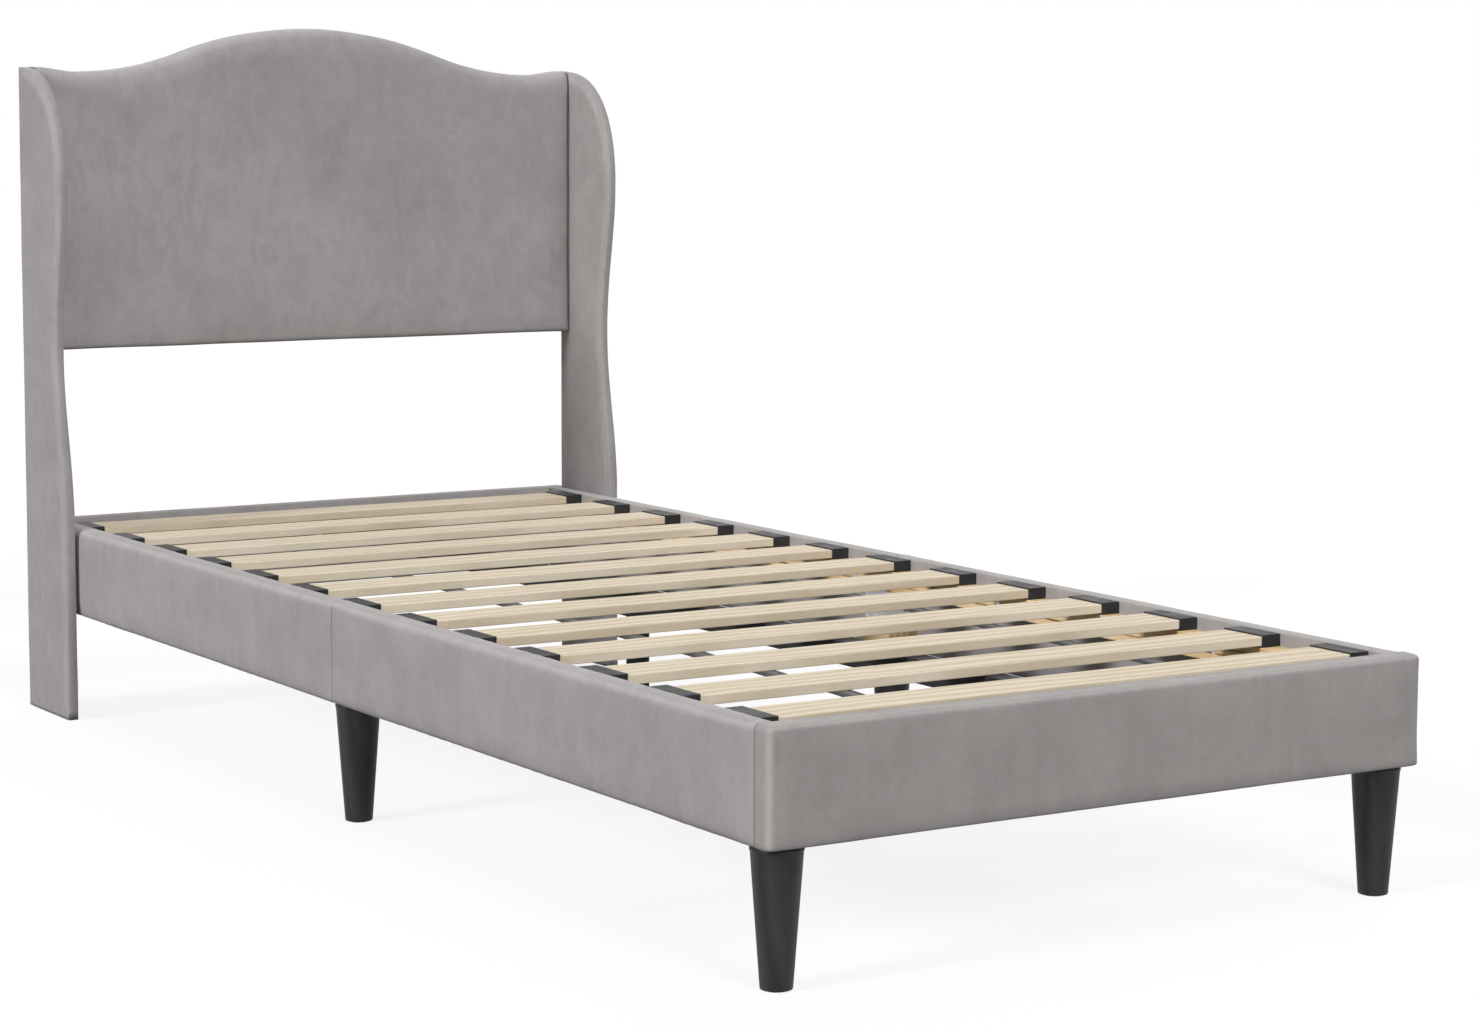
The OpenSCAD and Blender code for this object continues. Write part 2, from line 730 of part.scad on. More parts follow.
module ledger_screws() {
    head_x = rail_in - ledger_w;
    color(steel_colour) both_sides() both_ends() for (k = [0 : ledger_screws_each - 1]) {
        rod_x(screw_r, head_x + screw_head_h, rail_in + cloth_t + screw_bite,
            ledger_screw_y(k), ledger_screw_z);
        rod_x(screw_head_r, head_x, head_x + screw_head_h, ledger_screw_y(k), ledger_screw_z);
    }
}

// A tapered round leg with a low rim, hollow for its bolt above and its felt pad below
module leg(place) {
    color(leg_colour) translate([place[0], place[1], 0]) difference() {
        rotate_extrude() polygon([
            [0, felt_stand],
            [leg_foot_r, felt_stand],
            [leg_top_r - leg_rim_step, leg_z1 - leg_rim_h],
            [leg_top_r, leg_z1 - leg_rim_h],
            [leg_top_r, leg_z1],
            [0, leg_z1]]);
        translate([0, 0, leg_z1 - leg_bolt_down]) cylinder(r = leg_bolt_r, h = leg_bolt_down + 1);
        cylinder(r = felt_r, h = felt_t);
    }
}

module leg_foot_left() on_side("left") leg(leg_places[0]);
module leg_foot_right() on_side("right") leg(leg_places[0]);
module leg_mid_left() on_side("left") leg(leg_places[1]);
module leg_mid_right() on_side("right") leg(leg_places[1]);

// Something round at each of the four legs, from z0 to z1
module at_legs(r, z0, z1) {
    both_sides() for (place = leg_places) translate([place[0], place[1], z0]) cylinder(r = r, h = z1 - z0);
}

module leg_blocks() {
    color(ply_colour) difference() {
        both_sides() {
            block([block_in, rail_y0, leg_h], [rail_in, rail_y0 + corner_block_l, leg_h + block_h]);
            block([block_in, leg_mid_y - mid_block_l / 2, leg_h],
                [rail_in, leg_mid_y + mid_block_l / 2, leg_h + block_h]);
        }
        at_legs(leg_bolt_r, leg_h - 1, leg_h + leg_bolt_up);
        both_sides() rail_screw_shafts();
    }
}

module leg_bolts() {
    color(steel_colour) at_legs(leg_bolt_r, leg_z1 - leg_bolt_down, leg_h + leg_bolt_up);
}

module leg_plates() {
    plate_r = leg_top_r - 5;
    color(black_colour) difference() {
        at_legs(plate_r, leg_z1, leg_h);
        at_legs(leg_bolt_r, leg_z1 - 1, leg_h + 1);
    }
}

module leg_pads() {
    color(black_colour) at_legs(felt_r, 0, felt_t);
}

// A square tube along Y
module square_tube(w, wall, y0, y1, z_mid) {
    difference() {
        block([-w / 2, y0, z_mid - w / 2], [w / 2, y1, z_mid + w / 2]);
        block([wall - w / 2, y0 - 1, z_mid - w / 2 + wall], [w / 2 - wall, y1 + 1, z_mid + w / 2 - wall]);
    }
}

module beam_foot() {
    color(black_colour) square_tube(beam_w, beam_wall, rail_y0 + steel_t, joint_y, beam_z0 + beam_w / 2);
}

module beam_head() {
    color(black_colour) square_tube(beam_w, beam_wall, joint_y, rail_y1 - steel_t, beam_z0 + beam_w / 2);
}

module beam_joiner() {
    color(steel_colour) square_tube(beam_w - 2 * beam_wall, beam_wall,
        joint_y - joiner_l / 2, joint_y + joiner_l / 2, beam_z0 + beam_w / 2);
}

// Steel saddles that hold the ends of the beam
module beam_brackets() {
    plate_half = saddle_w / 2 + saddle_ear;
    color(steel_colour) both_ends() difference() {
        union() {
            block([-plate_half, rail_y0, beam_z0 - steel_t], [plate_half, rail_y0 + steel_t, slat_z0]);
            block([-saddle_w / 2, rail_y0, beam_z0 - steel_t], [saddle_w / 2, rail_y0 + saddle_l, slat_z0]);
        }
        block([-beam_w / 2, rail_y0 + steel_t, beam_z0], [beam_w / 2, rail_y0 + saddle_l + 1, slat_z0 + 1]);
        end_screw_shafts();
    }
}

// Tube and welded top plate under the middle of the beam
module centre_leg() {
    plate_half = beam_w;
    tube_l = beam_z0 - steel_t - foot_h;
    color(black_colour) translate([0, leg_mid_y, 0]) union() {
        block([-plate_half, -plate_half, beam_z0 - steel_t], [plate_half, plate_half, beam_z0]);
        difference() {
            translate([0, 0, foot_h]) cylinder(r = tube_r, h = tube_l);
            translate([0, 0, foot_h - 1]) cylinder(r = tube_r - tube_wall, h = tube_l + 1);
        }
    }
}

module centre_leg_plug() {
    color(steel_colour) translate([0, leg_mid_y, foot_h]) difference() {
        cylinder(r = tube_r - tube_wall, h = plug_h);
        translate([0, 0, -1]) cylinder(r = rod_r + thread_play, h = plug_h + 2);
    }
}

// The foot screws down out of the plug to meet an uneven floor
module centre_foot() {
    color(black_colour) translate([0, leg_mid_y, 0]) {
        cylinder(r = foot_r, h = foot_h);
        cylinder(r = rod_r, h = foot_h + rod_l);
    }
}

function slat_y(index) = rail_y0 + slat_end + (index - 1) * slat_pitch;

module slat(index) {
    y = slat_y(index);
    color(ply_colour) block([-slat_half, y - slat_w / 2, slat_z0], [slat_half, y + slat_w / 2, slat_z1]);
}

module slat_01() slat(1);
module slat_02() slat(2);
module slat_03() slat(3);
module slat_04() slat(4);
module slat_05() slat(5);
module slat_06() slat(6);
module slat_07() slat(7);
module slat_08() slat(8);
module slat_09() slat(9);
module slat_10() slat(10);
module slat_11() slat(11);
module slat_12() slat(12);
module slat_13() slat(13);

// Plastic holders that grip the slat ends and lie on the ledgers
module slat_holders() {
    holder_x1 = rail_in - holder_play;
    holder_half = slat_w / 2 + holder_wall;
    color(black_colour) both_sides() for (i = [1 : slat_count]) difference() {
        block([holder_x1 - holder_l, slat_y(i) - holder_half, slat_z0 - holder_wall],
            [holder_x1, slat_y(i) + holder_half, slat_z1 + holder_wall]);
        block([holder_x1 - holder_l - 1, slat_y(i) - slat_w / 2, slat_z0],
            [slat_half, slat_y(i) + slat_w / 2, slat_z1]);
    }
}

// Webbing stapled under the slats to keep them apart
module slat_straps() {
    color(black_colour) both_sides() block(
        [strap_x - strap_w / 2, slat_y(1) - slat_w / 2, slat_z0 - strap_t],
        [strap_x + strap_w / 2, slat_y(slat_count) + slat_w / 2, slat_z0]);
}

headboard_board();
headboard_foam();
headboard_cover();
headboard_back_cloth();
wing_board_left();
wing_board_right();
wing_cover_left();
wing_cover_right();
wing_glides();
headboard_bolts();
wing_bolts();
wing_spacers();
foot_board();
foot_cover();
rail_board_foot_left();
rail_board_foot_right();
rail_board_head_left();
rail_board_head_right();
rail_cover_foot_left();
rail_cover_foot_right();
rail_cover_head_left();
rail_cover_head_right();
head_rail_board();
head_rail_cover();
ledgers();
rail_splices();
corner_brackets();
frame_screws();
ledger_screws();
leg_foot_left();
leg_foot_right();
leg_mid_left();
leg_mid_right();
leg_blocks();
leg_bolts();
leg_pads();
leg_plates();
beam_foot();
beam_head();
beam_joiner();
beam_brackets();
centre_leg();
centre_leg_plug();
centre_foot();
slat_holders();
slat_straps();
slat_01();
slat_02();
slat_03();
slat_04();
slat_05();
slat_06();
slat_07();
slat_08();
slat_09();
slat_10();
slat_11();
slat_12();
slat_13();
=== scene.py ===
import json
import math

import bmesh
import bpy
from mathutils import Matrix, Vector, noise
from mathutils.kdtree import KDTree


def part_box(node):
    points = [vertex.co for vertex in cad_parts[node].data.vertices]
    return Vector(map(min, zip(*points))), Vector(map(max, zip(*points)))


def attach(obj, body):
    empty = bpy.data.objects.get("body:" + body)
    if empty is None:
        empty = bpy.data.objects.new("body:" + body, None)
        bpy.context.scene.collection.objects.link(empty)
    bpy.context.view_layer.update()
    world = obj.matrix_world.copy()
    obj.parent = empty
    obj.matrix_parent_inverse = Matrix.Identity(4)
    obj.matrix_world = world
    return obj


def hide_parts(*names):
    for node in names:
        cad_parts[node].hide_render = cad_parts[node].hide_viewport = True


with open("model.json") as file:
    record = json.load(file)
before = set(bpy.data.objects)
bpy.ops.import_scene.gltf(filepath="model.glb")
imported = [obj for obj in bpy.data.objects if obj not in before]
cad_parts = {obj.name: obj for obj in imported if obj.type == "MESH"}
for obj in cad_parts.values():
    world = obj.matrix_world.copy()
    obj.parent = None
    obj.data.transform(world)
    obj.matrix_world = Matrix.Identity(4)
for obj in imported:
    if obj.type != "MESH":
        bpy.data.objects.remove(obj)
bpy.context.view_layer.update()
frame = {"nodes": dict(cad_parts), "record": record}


# Shared node work

def add_to_scene(name, data):
    made = bpy.data.objects.new(name, data)
    bpy.context.scene.collection.objects.link(made)
    return made


def add_node(tree, kind, **settings):
    made = tree.nodes.new(kind)
    for name, value in settings.items():
        setattr(made, name, value)
    return made


def link(tree, output, entry):
    tree.links.new(output, entry)


def start_group(name, defaults):
    """A node group that takes a place and named values and gives colour, roughness and height."""
    group = bpy.data.node_groups.new(name, "ShaderNodeTree")
    new_socket = group.interface.new_socket
    new_socket(name="Vector", in_out="INPUT", socket_type="NodeSocketVector")
    for socket_name, value in defaults.items():
        kind = "NodeSocketColor" if isinstance(value, tuple) else "NodeSocketFloat"
        new_socket(name=socket_name, in_out="INPUT", socket_type=kind).default_value = value
    new_socket(name="Colour", in_out="OUTPUT", socket_type="NodeSocketColor")
    new_socket(name="Roughness", in_out="OUTPUT", socket_type="NodeSocketFloat")
    new_socket(name="Height", in_out="OUTPUT", socket_type="NodeSocketFloat")
    return group, add_node(group, "NodeGroupInput").outputs, add_node(group, "NodeGroupOutput").inputs


def stretched(tree, vector, scale):
    """The vector with each axis scaled, so that a pattern is drawn out along one of them."""
    mapping = add_node(tree, "ShaderNodeMapping")
    mapping.inputs["Scale"].default_value = scale
    link(tree, vector, mapping.inputs["Vector"])
    return mapping.outputs["Vector"]


def grain_noise(tree, vector, scale, detail, rough=0.5, bend=0.0, shift=None):
    """Noise of a fixed grain. A shift moves it to another part of the same pattern."""
    made = add_node(tree, "ShaderNodeTexNoise", noise_dimensions="4D" if shift else "3D")
    made.inputs["Scale"].default_value = scale
    made.inputs["Detail"].default_value = detail
    made.inputs["Roughness"].default_value = rough
    made.inputs["Distortion"].default_value = bend
    link(tree, vector, made.inputs["Vector"])
    if shift:
        link(tree, shift, made.inputs["W"])
    return made.outputs["Fac"]


def spread(tree, value, low, high, to_low=0.0, to_high=1.0, smooth=True):
    """Maps a range of values onto another one and holds them inside it."""
    made = add_node(tree, "ShaderNodeMapRange", clamp=True)
    made.interpolation_type = "SMOOTHSTEP" if smooth else "LINEAR"
    made.inputs["From Min"].default_value = low
    made.inputs["From Max"].default_value = high
    made.inputs["To Min"].default_value = to_low
    made.inputs["To Max"].default_value = to_high
    link(tree, value, made.inputs["Value"])
    return made.outputs["Result"]


def maths(tree, operation, first, second):
    made = add_node(tree, "ShaderNodeMath", operation=operation)
    for entry, value in zip(made.inputs, (first, second)):
        if isinstance(value, (int, float)):
            entry.default_value = value
        else:
            link(tree, value, entry)
    return made.outputs["Value"]


def weighted_sum(tree, *parts):
    """The sum of values, each given with its weight."""
    products = [maths(tree, "MULTIPLY", value, weight) for value, weight in parts]
    total = products[0]
    for product in products[1:]:
        total = maths(tree, "ADD", total, product)
    return total


def between(tree, share, low, high):
    """The value that lies at a share of the way from low to high."""
    span = maths(tree, "SUBTRACT", high, low)
    return maths(tree, "ADD", low, maths(tree, "MULTIPLY", share, span))


def mixed(tree, share, first, second):
    """The first colour where the share is 0, the second where it is 1."""
    made = add_node(tree, "ShaderNodeMix", data_type="RGBA")
    colour_entries = [entry for entry in made.inputs if entry.type == "RGBA"]
    for entry, value in zip([made.inputs["Factor"], *colour_entries], (share, first, second)):
        if isinstance(value, (int, float, tuple)):
            entry.default_value = value
        else:
            link(tree, value, entry)
    return next(exit for exit in made.outputs if exit.type == "RGBA")


# Effects that several finishes share

def make_nap_group():
    """Brushed pile: clouds and strokes left by a hand, small mottling and the pile itself, with a
    painted highlight along marked edges and painted shade where marked.
    """
    group, entry, leave = start_group(
        "brushed pile",
        {"Piece": 0.0, "Edge": 0.0, "Painted_shade": 0.0, "Upright": 0.0,
         "Dark": (0.2, 0.2, 0.2, 1), "Light": (0.3, 0.3, 0.3, 1), "Highlight": (0.5, 0.5, 0.5, 1)})
    place = entry["Vector"]
    piece = entry["Piece"]
    tall = stretched(group, place, (1, 1, 0.6))
    very_tall = stretched(group, place, (1, 1, 0.2))
    clouds = grain_noise(group, place, scale=10, detail=3, rough=0.5, bend=0.8, shift=piece)
    brushed = grain_noise(group, tall, scale=30, detail=4, rough=0.55, bend=1.7, shift=piece)
    strokes = grain_noise(group, very_tall, scale=42, detail=4, rough=0.55, bend=0.6, shift=piece)
    mottle = grain_noise(group, place, scale=95, detail=3, rough=0.6, bend=0.9, shift=piece)
    pile = grain_noise(group, stretched(group, place, (1, 1, 0.5)), scale=1400, detail=2)
    hand = between(group, entry["Upright"], brushed, strokes)
    total = weighted_sum(group, (clouds, 0.36), (hand, 0.45), (mottle, 0.19))
    tone = spread(group, total, 0.38, 0.62, smooth=False)
    flat = mixed(group, tone, entry["Dark"], entry["Light"])
    # Painted highlight: where an edge is marked, the colour is mixed towards a lighter one
    highlight_mask = maths(group, "MULTIPLY", entry["Edge"], spread(group, hand, 0.35, 0.6, 0.55, 1.0))
    lit = mixed(group, highlight_mask, flat, entry["Highlight"])
    speck = spread(group, pile, 0.3, 0.7, 0.95, 1.05, smooth=False)
    # Painted shade: this input darkens the colour, down to 0.42 of it where the input is 1
    shade_mask = spread(group, entry["Painted_shade"], 0, 1, 1.0, 0.42, smooth=False)
    speckled = add_node(group, "ShaderNodeVectorMath", operation="SCALE")
    link(group, lit, speckled.inputs[0])
    link(group, maths(group, "MULTIPLY", speck, shade_mask), speckled.inputs["Scale"])
    link(group, speckled.outputs["Vector"], leave["Colour"])
    link(group, spread(group, tone, 0, 1, 0.92, 0.8, smooth=False), leave["Roughness"])
    link(group, weighted_sum(group, (pile, 0.5), (mottle, 0.5)), leave["Height"])
    return group


def make_wood_group():
    """Long grain along one axis, with growth bands, fibres and blotches."""
    group, entry, leave = start_group(
        "long grain",
        {"Dark": (0.3, 0.2, 0.1, 1), "Light": (0.6, 0.45, 0.3, 1), "Band scale": 22.0,
         "Smooth": 0.5, "Rough": 0.72})
    place = entry["Vector"]
    waves = add_node(group, "ShaderNodeTexWave", wave_type="BANDS", bands_direction="Y")
    waves.inputs["Distortion"].default_value = 7
    waves.inputs["Detail"].default_value = 3
    waves.inputs["Detail Scale"].default_value = 0.8
    link(group, stretched(group, place, (0.3, 1, 1)), waves.inputs["Vector"])
    link(group, entry["Band scale"], waves.inputs["Scale"])
    fibres = grain_noise(group, stretched(group, place, (1, 14, 14)), scale=55, detail=4, rough=0.6)
    blotch = grain_noise(group, place, scale=6, detail=3)
    total = weighted_sum(group, (waves.outputs["Fac"], 0.42), (fibres, 0.42), (blotch, 0.3))
    tone = spread(group, total, 0.25, 0.85, smooth=False)
    link(group, mixed(group, tone, entry["Light"], entry["Dark"]), leave["Colour"])
    share = spread(group, fibres, 0.3, 0.7, smooth=False)
    link(group, between(group, share, entry["Smooth"], entry["Rough"]), leave["Roughness"])
    link(group, fibres, leave["Height"])
    return group


def make_chip_group():
    """Pressed wood flakes."""
    group, entry, leave = start_group(
        "pressed flakes", {"Dark": (0.3, 0.2, 0.1, 1), "Light": (0.6, 0.45, 0.3, 1)})
    flakes = add_node(group, "ShaderNodeTexVoronoi", feature="F1")
    flakes.inputs["Scale"].default_value = 260
    link(group, stretched(group, entry["Vector"], (1, 0.45, 1)), flakes.inputs["Vector"])
    tone = spread(group, flakes.outputs["Distance"], 0.1, 0.9, smooth=False)
    fine = grain_noise(group, entry["Vector"], scale=420, detail=3)
    share = weighted_sum(group, (tone, 0.6), (fine, 0.4))
    link(group, mixed(group, share, entry["Light"], entry["Dark"]), leave["Colour"])
    link(group, spread(group, fine, 0.3, 0.7, 0.7, 0.9, smooth=False), leave["Roughness"])
    link(group, share, leave["Height"])
    return group


def make_wear_group():
    """Uneven tone and gloss over a fine grit, for metal, paint and plastic."""
    group, entry, leave = start_group(
        "fine surface",
        {"Dark": (0.1, 0.1, 0.1, 1), "Light": (0.2, 0.2, 0.2, 1), "Smooth": 0.3, "Rough": 0.5,
         "Pattern scale": 40.0, "Grit scale": 900.0})
    place = entry["Vector"]
    cloud = add_node(group, "ShaderNodeTexNoise")
    cloud.inputs["Detail"].default_value = 4
    cloud.inputs["Distortion"].default_value = 0.4
    link(group, place, cloud.inputs["Vector"])
    link(group, entry["Pattern scale"], cloud.inputs["Scale"])
    grit = add_node(group, "ShaderNodeTexNoise")
    grit.inputs["Detail"].default_value = 2
    link(group, place, grit.inputs["Vector"])
    link(group, entry["Grit scale"], grit.inputs["Scale"])
    tone = spread(group, cloud.outputs["Fac"], 0.3, 0.7)
    link(group, mixed(group, tone, entry["Dark"], entry["Light"]), leave["Colour"])
    link(group, between(group, tone, entry["Smooth"], entry["Rough"]), leave["Roughness"])
    link(group, grit.outputs["Fac"], leave["Height"])
    return group


def make_thread_group():
    """Crossing threads for webbing, or loose fibres where the weave is set low."""
    group, entry, leave = start_group(
        "threads",
        {"Dark": (0.01, 0.01, 0.01, 1), "Light": (0.05, 0.05, 0.05, 1), "Weave": 1.0,
         "Thread scale": 180.0})
    place = entry["Vector"]
    waves = []
    for direction in ("X", "Y", "Z"):
        wave = add_node(group, "ShaderNodeTexWave", wave_type="BANDS", bands_direction=direction)
        link(group, place, wave.inputs["Vector"])
        link(group, entry["Thread scale"], wave.inputs["Scale"])
        waves.append(wave.outputs["Fac"])
    woven = maths(group, "MULTIPLY", maths(group, "ADD", waves[0], waves[2]), waves[1])
    fibres = grain_noise(group, place, scale=620, detail=4, rough=0.65, bend=0.8)
    woven_part = maths(group, "MULTIPLY", woven, maths(group, "MULTIPLY", entry["Weave"], 0.5))
    share = maths(group, "ADD", woven_part, maths(group, "MULTIPLY", fibres, 0.6))
    tone = spread(group, share, 0.15, 0.8)
    link(group, mixed(group, tone, entry["Dark"], entry["Light"]), leave["Colour"])
    link(group, spread(group, tone, 0, 1, 0.95, 0.75, smooth=False), leave["Roughness"])
    link(group, tone, leave["Height"])
    return group


nap_group = make_nap_group()
wood_group = make_wood_group()
chip_group = make_chip_group()
wear_group = make_wear_group()
thread_group = make_thread_group()


bump_strength = 0.6
velvet_dark = 0.258
velvet_light = 0.318
# Colour of the painted highlight on velvet edges
velvet_highlight = 0.370


def finish_with(name, group, values, relief, metal=0.0, level=0.4, turn=None, **shader_values):
    """A material whose colour, roughness and bump come from one of the shared groups."""
    material = bpy.data.materials.new(name)
    material.use_nodes = True
    tree = material.node_tree
    shader = tree.nodes["Principled BSDF"]
    effect = add_node(tree, "ShaderNodeGroup", node_tree=group, name="effect")
    place = add_node(tree, "ShaderNodeTexCoord").outputs["Object"]
    if turn:
        mapping = add_node(tree, "ShaderNodeMapping")
        mapping.inputs["Rotation"].default_value = turn
        link(tree, place, mapping.inputs["Vector"])
        place = mapping.outputs["Vector"]
    link(tree, place, effect.inputs["Vector"])
    for socket, value in values.items():
        effect.inputs[socket].default_value = value
    link(tree, effect.outputs["Colour"], shader.inputs["Base Color"])
    link(tree, effect.outputs["Roughness"], shader.inputs["Roughness"])
    bump = add_node(tree, "ShaderNodeBump")
    bump.inputs["Strength"].default_value = bump_strength
    bump.inputs["Distance"].default_value = relief
    link(tree, effect.outputs["Height"], bump.inputs["Height"])
    link(tree, bump.outputs["Normal"], shader.inputs["Normal"])
    shader.inputs["Metallic"].default_value = metal
    shader.inputs["Specular IOR Level"].default_value = level
    for socket, value in shader_values.items():
        shader.inputs[socket.replace("_", " ")].default_value = value
    return material


def make_velvet(name, upright, tone, green, blue):
    """Velvet in a tone of its own on each piece; the tones are partly painted light and shade, lighter
    or darker as the light falls on that piece.
    """
    def dyed(level):
        return (level * tone, level * tone * green, level * tone * blue, 1)

    values = {
        "Dark": dyed(velvet_dark), "Light": dyed(velvet_light), "Highlight": dyed(velvet_highlight),
        "Upright": upright}
    material = finish_with(
        name, nap_group, values, relief=0.0004, level=0.15,
        Sheen_Weight=0.25, Sheen_Roughness=0.4, Sheen_Tint=(0.95, 0.94, 0.93, 1))
    tree = material.node_tree
    # Attributes set how much painted highlight, painted shade and cloud shift each point gets
    for socket in ("Piece", "Edge", "Painted_shade"):
        reader = add_node(tree, "ShaderNodeAttribute", attribute_name=socket.lower())
        link(tree, reader.outputs["Fac"], tree.nodes["effect"].inputs[socket])
    return material


# Each piece's tone differs a little, as pieces of velvet do, and also stands in for how the light falls
# on it: painted light and shade
panel_velvet = make_velvet("panel velvet", upright=0.12, tone=1.035, green=0.948, blue=0.952)
wing_velvet = make_velvet("wing velvet", upright=0.12, tone=0.975, green=0.937, blue=0.927)
rail_velvet = make_velvet("rail velvet", upright=0.5, tone=1.02, green=0.937, blue=0.927)
foot_velvet = make_velvet("foot panel velvet", upright=0.5, tone=0.94, green=0.947, blue=0.925)
leg_lacquer = finish_with(
    "charcoal leg lacquer", wood_group,
    {"Dark": (0.0108, 0.0088, 0.0111, 1), "Light": (0.0285, 0.0245, 0.0288, 1), "Band scale": 20.0,
     "Smooth": 0.46, "Rough": 0.6},
    relief=0.00006, level=0.25, turn=(0, math.radians(90), 0))
chipboard = finish_with(
    "raw chipboard", chip_group,
    {"Dark": (0.30, 0.20, 0.11, 1), "Light": (0.56, 0.42, 0.26, 1)},
    relief=0.0003, level=0.2)
pine = finish_with(
    "planed pine", wood_group,
    {"Dark": (0.52, 0.33, 0.15, 1), "Light": (0.76, 0.57, 0.34, 1), "Band scale": 26.0},
    relief=0.0002, turn=(0, 0, math.radians(90)))
birch = finish_with(
    "sanded birch plywood", wood_group,
    {"Dark": (0.52, 0.43, 0.31, 1), "Light": (0.68, 0.61, 0.49, 1), "Band scale": 14.0,
     "Smooth": 0.8, "Rough": 0.92},
    relief=0.00012, level=0.1)
zinc = finish_with(
    "zinc plate", wear_group,
    {"Dark": (0.42, 0.43, 0.45, 1), "Light": (0.62, 0.63, 0.66, 1), "Pattern scale": 130.0,
     "Smooth": 0.28, "Rough": 0.5},
    relief=0.00003, metal=1.0)
black_paint = finish_with(
    "black powder coat", wear_group,
    {"Dark": (0.012, 0.012, 0.013, 1), "Light": (0.022, 0.022, 0.024, 1),
     "Smooth": 0.62, "Rough": 0.78},
    relief=0.00012, level=0.2)
black_plastic = finish_with(
    "moulded black plastic", wear_group,
    {"Dark": (0.014, 0.014, 0.015, 1), "Light": (0.024, 0.024, 0.026, 1), "Grit scale": 2200.0,
     "Smooth": 0.58, "Rough": 0.74},
    relief=0.00006, level=0.2)
webbing = finish_with(
    "black webbing", thread_group,
    {"Dark": (0.008, 0.008, 0.009, 1), "Light": (0.045, 0.045, 0.048, 1), "Thread scale": 150.0},
    relief=0.0004, level=0.2, Sheen_Weight=0.15)
dust_cloth_finish = finish_with(
    "black dust cloth", thread_group,
    {"Dark": (0.010, 0.010, 0.011, 1), "Light": (0.032, 0.032, 0.034, 1), "Weave": 0.25,
     "Thread scale": 90.0},
    relief=0.0003, level=0.15, Sheen_Weight=0.1)
felt = finish_with(
    "black felt", thread_group,
    {"Dark": (0.008, 0.008, 0.008, 1), "Light": (0.030, 0.030, 0.030, 1), "Weave": 0.0},
    relief=0.0005, level=0.1, Sheen_Weight=0.3)


# Shapes

same_place = 1e-5
merge_distance = 1e-6
grid_reach = 0.0004
cut_reach = 0.0002


def span_of(node):
    low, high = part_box(node)
    return Vector(low), Vector(high)


def all_of(shape):
    return [*shape.verts, *shape.edges, *shape.faces]


def block_shape(low, high):
    shape = bmesh.new()
    bmesh.ops.create_cube(shape, size=1)
    bmesh.ops.scale(shape, vec=high - low, verts=shape.verts)
    bmesh.ops.translate(shape, vec=(low + high) / 2, verts=shape.verts)
    return shape


def board_shape(outline, thickness):
    """A flat board: an outline of points, made one face and extruded."""
    shape = bmesh.new()
    face = shape.faces.new([shape.verts.new(point) for point in outline])
    grown = bmesh.ops.extrude_face_region(shape, geom=[face])
    moved = [item for item in grown["geom"] if isinstance(item, bmesh.types.BMVert)]
    bmesh.ops.translate(shape, vec=thickness, verts=moved)
    bmesh.ops.recalc_face_normals(shape, faces=shape.faces)
    return shape


def lies_on(edge, axis, place):
    return all(abs(vert.co[axis] - place) < same_place for vert in edge.verts)


def edges_on(shape, *planes):
    """The edges that lie in all of the planes, each given as its axis and its place on that axis."""
    return [edge for edge in shape.edges if all(lies_on(edge, *plane) for plane in planes)]


def round_off(shape, edges, radius, segments):
    bmesh.ops.bevel(
        shape, geom=edges, offset=radius, offset_type="OFFSET", segments=segments, profile=0.5,
        affect="EDGES", clamp_overlap=True, material=-1)


def cut_across(shape, axis, place, reach):
    """Cuts the whole shape across an axis, and uses the points that lie within reach of the cut."""
    normal = Vector((axis == 0, axis == 1, axis == 2))
    spot = normal * place
    bmesh.ops.bisect_plane(shape, geom=all_of(shape), dist=reach, plane_co=spot, plane_no=normal)


def cut_grid(shape, steps):
    """Cuts the shape into cells of about the given steps, in metres along each axis."""
    for axis, step in enumerate(steps):
        if not step:
            continue
        places = [vert.co[axis] for vert in shape.verts]
        low, high = min(places), max(places)
        count = max(1, round((high - low) / step))
        for index in range(1, count):
            cut_across(shape, axis, low + (high - low) * index / count, grid_reach)
    bmesh.ops.remove_doubles(shape, verts=shape.verts, dist=grid_reach)


def cut_at(shape, axis, places):
    """Cuts the shape across an axis at single places."""
    for place in places:
        cut_across(shape, axis, place, cut_reach)


def new_piece(name, shape, material, replaced=(), body="frame", smooth=True):
    """The finished mesh as a piece that rides on its body."""
    mesh = bpy.data.meshes.new(name)
    shape.normal_update()
    shape.to_mesh(mesh)
    shape.free()
    piece = add_to_scene(name, mesh)
    mesh.materials.append(material)
    if smooth:
        mesh.shade_smooth()
    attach(piece, body)
    if replaced:
        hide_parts(*replaced)
    return piece


# Upholstery

cloth_frames = 20
cloth_quality = 4
cloth_pressure = 4
points_followed = 5
nearest_distance = 0.001
smallest_move = 1e-7
swell_depth = 0.0005
swell_size = 0.11
quick_scale = 3.1
quick_share = 0.3


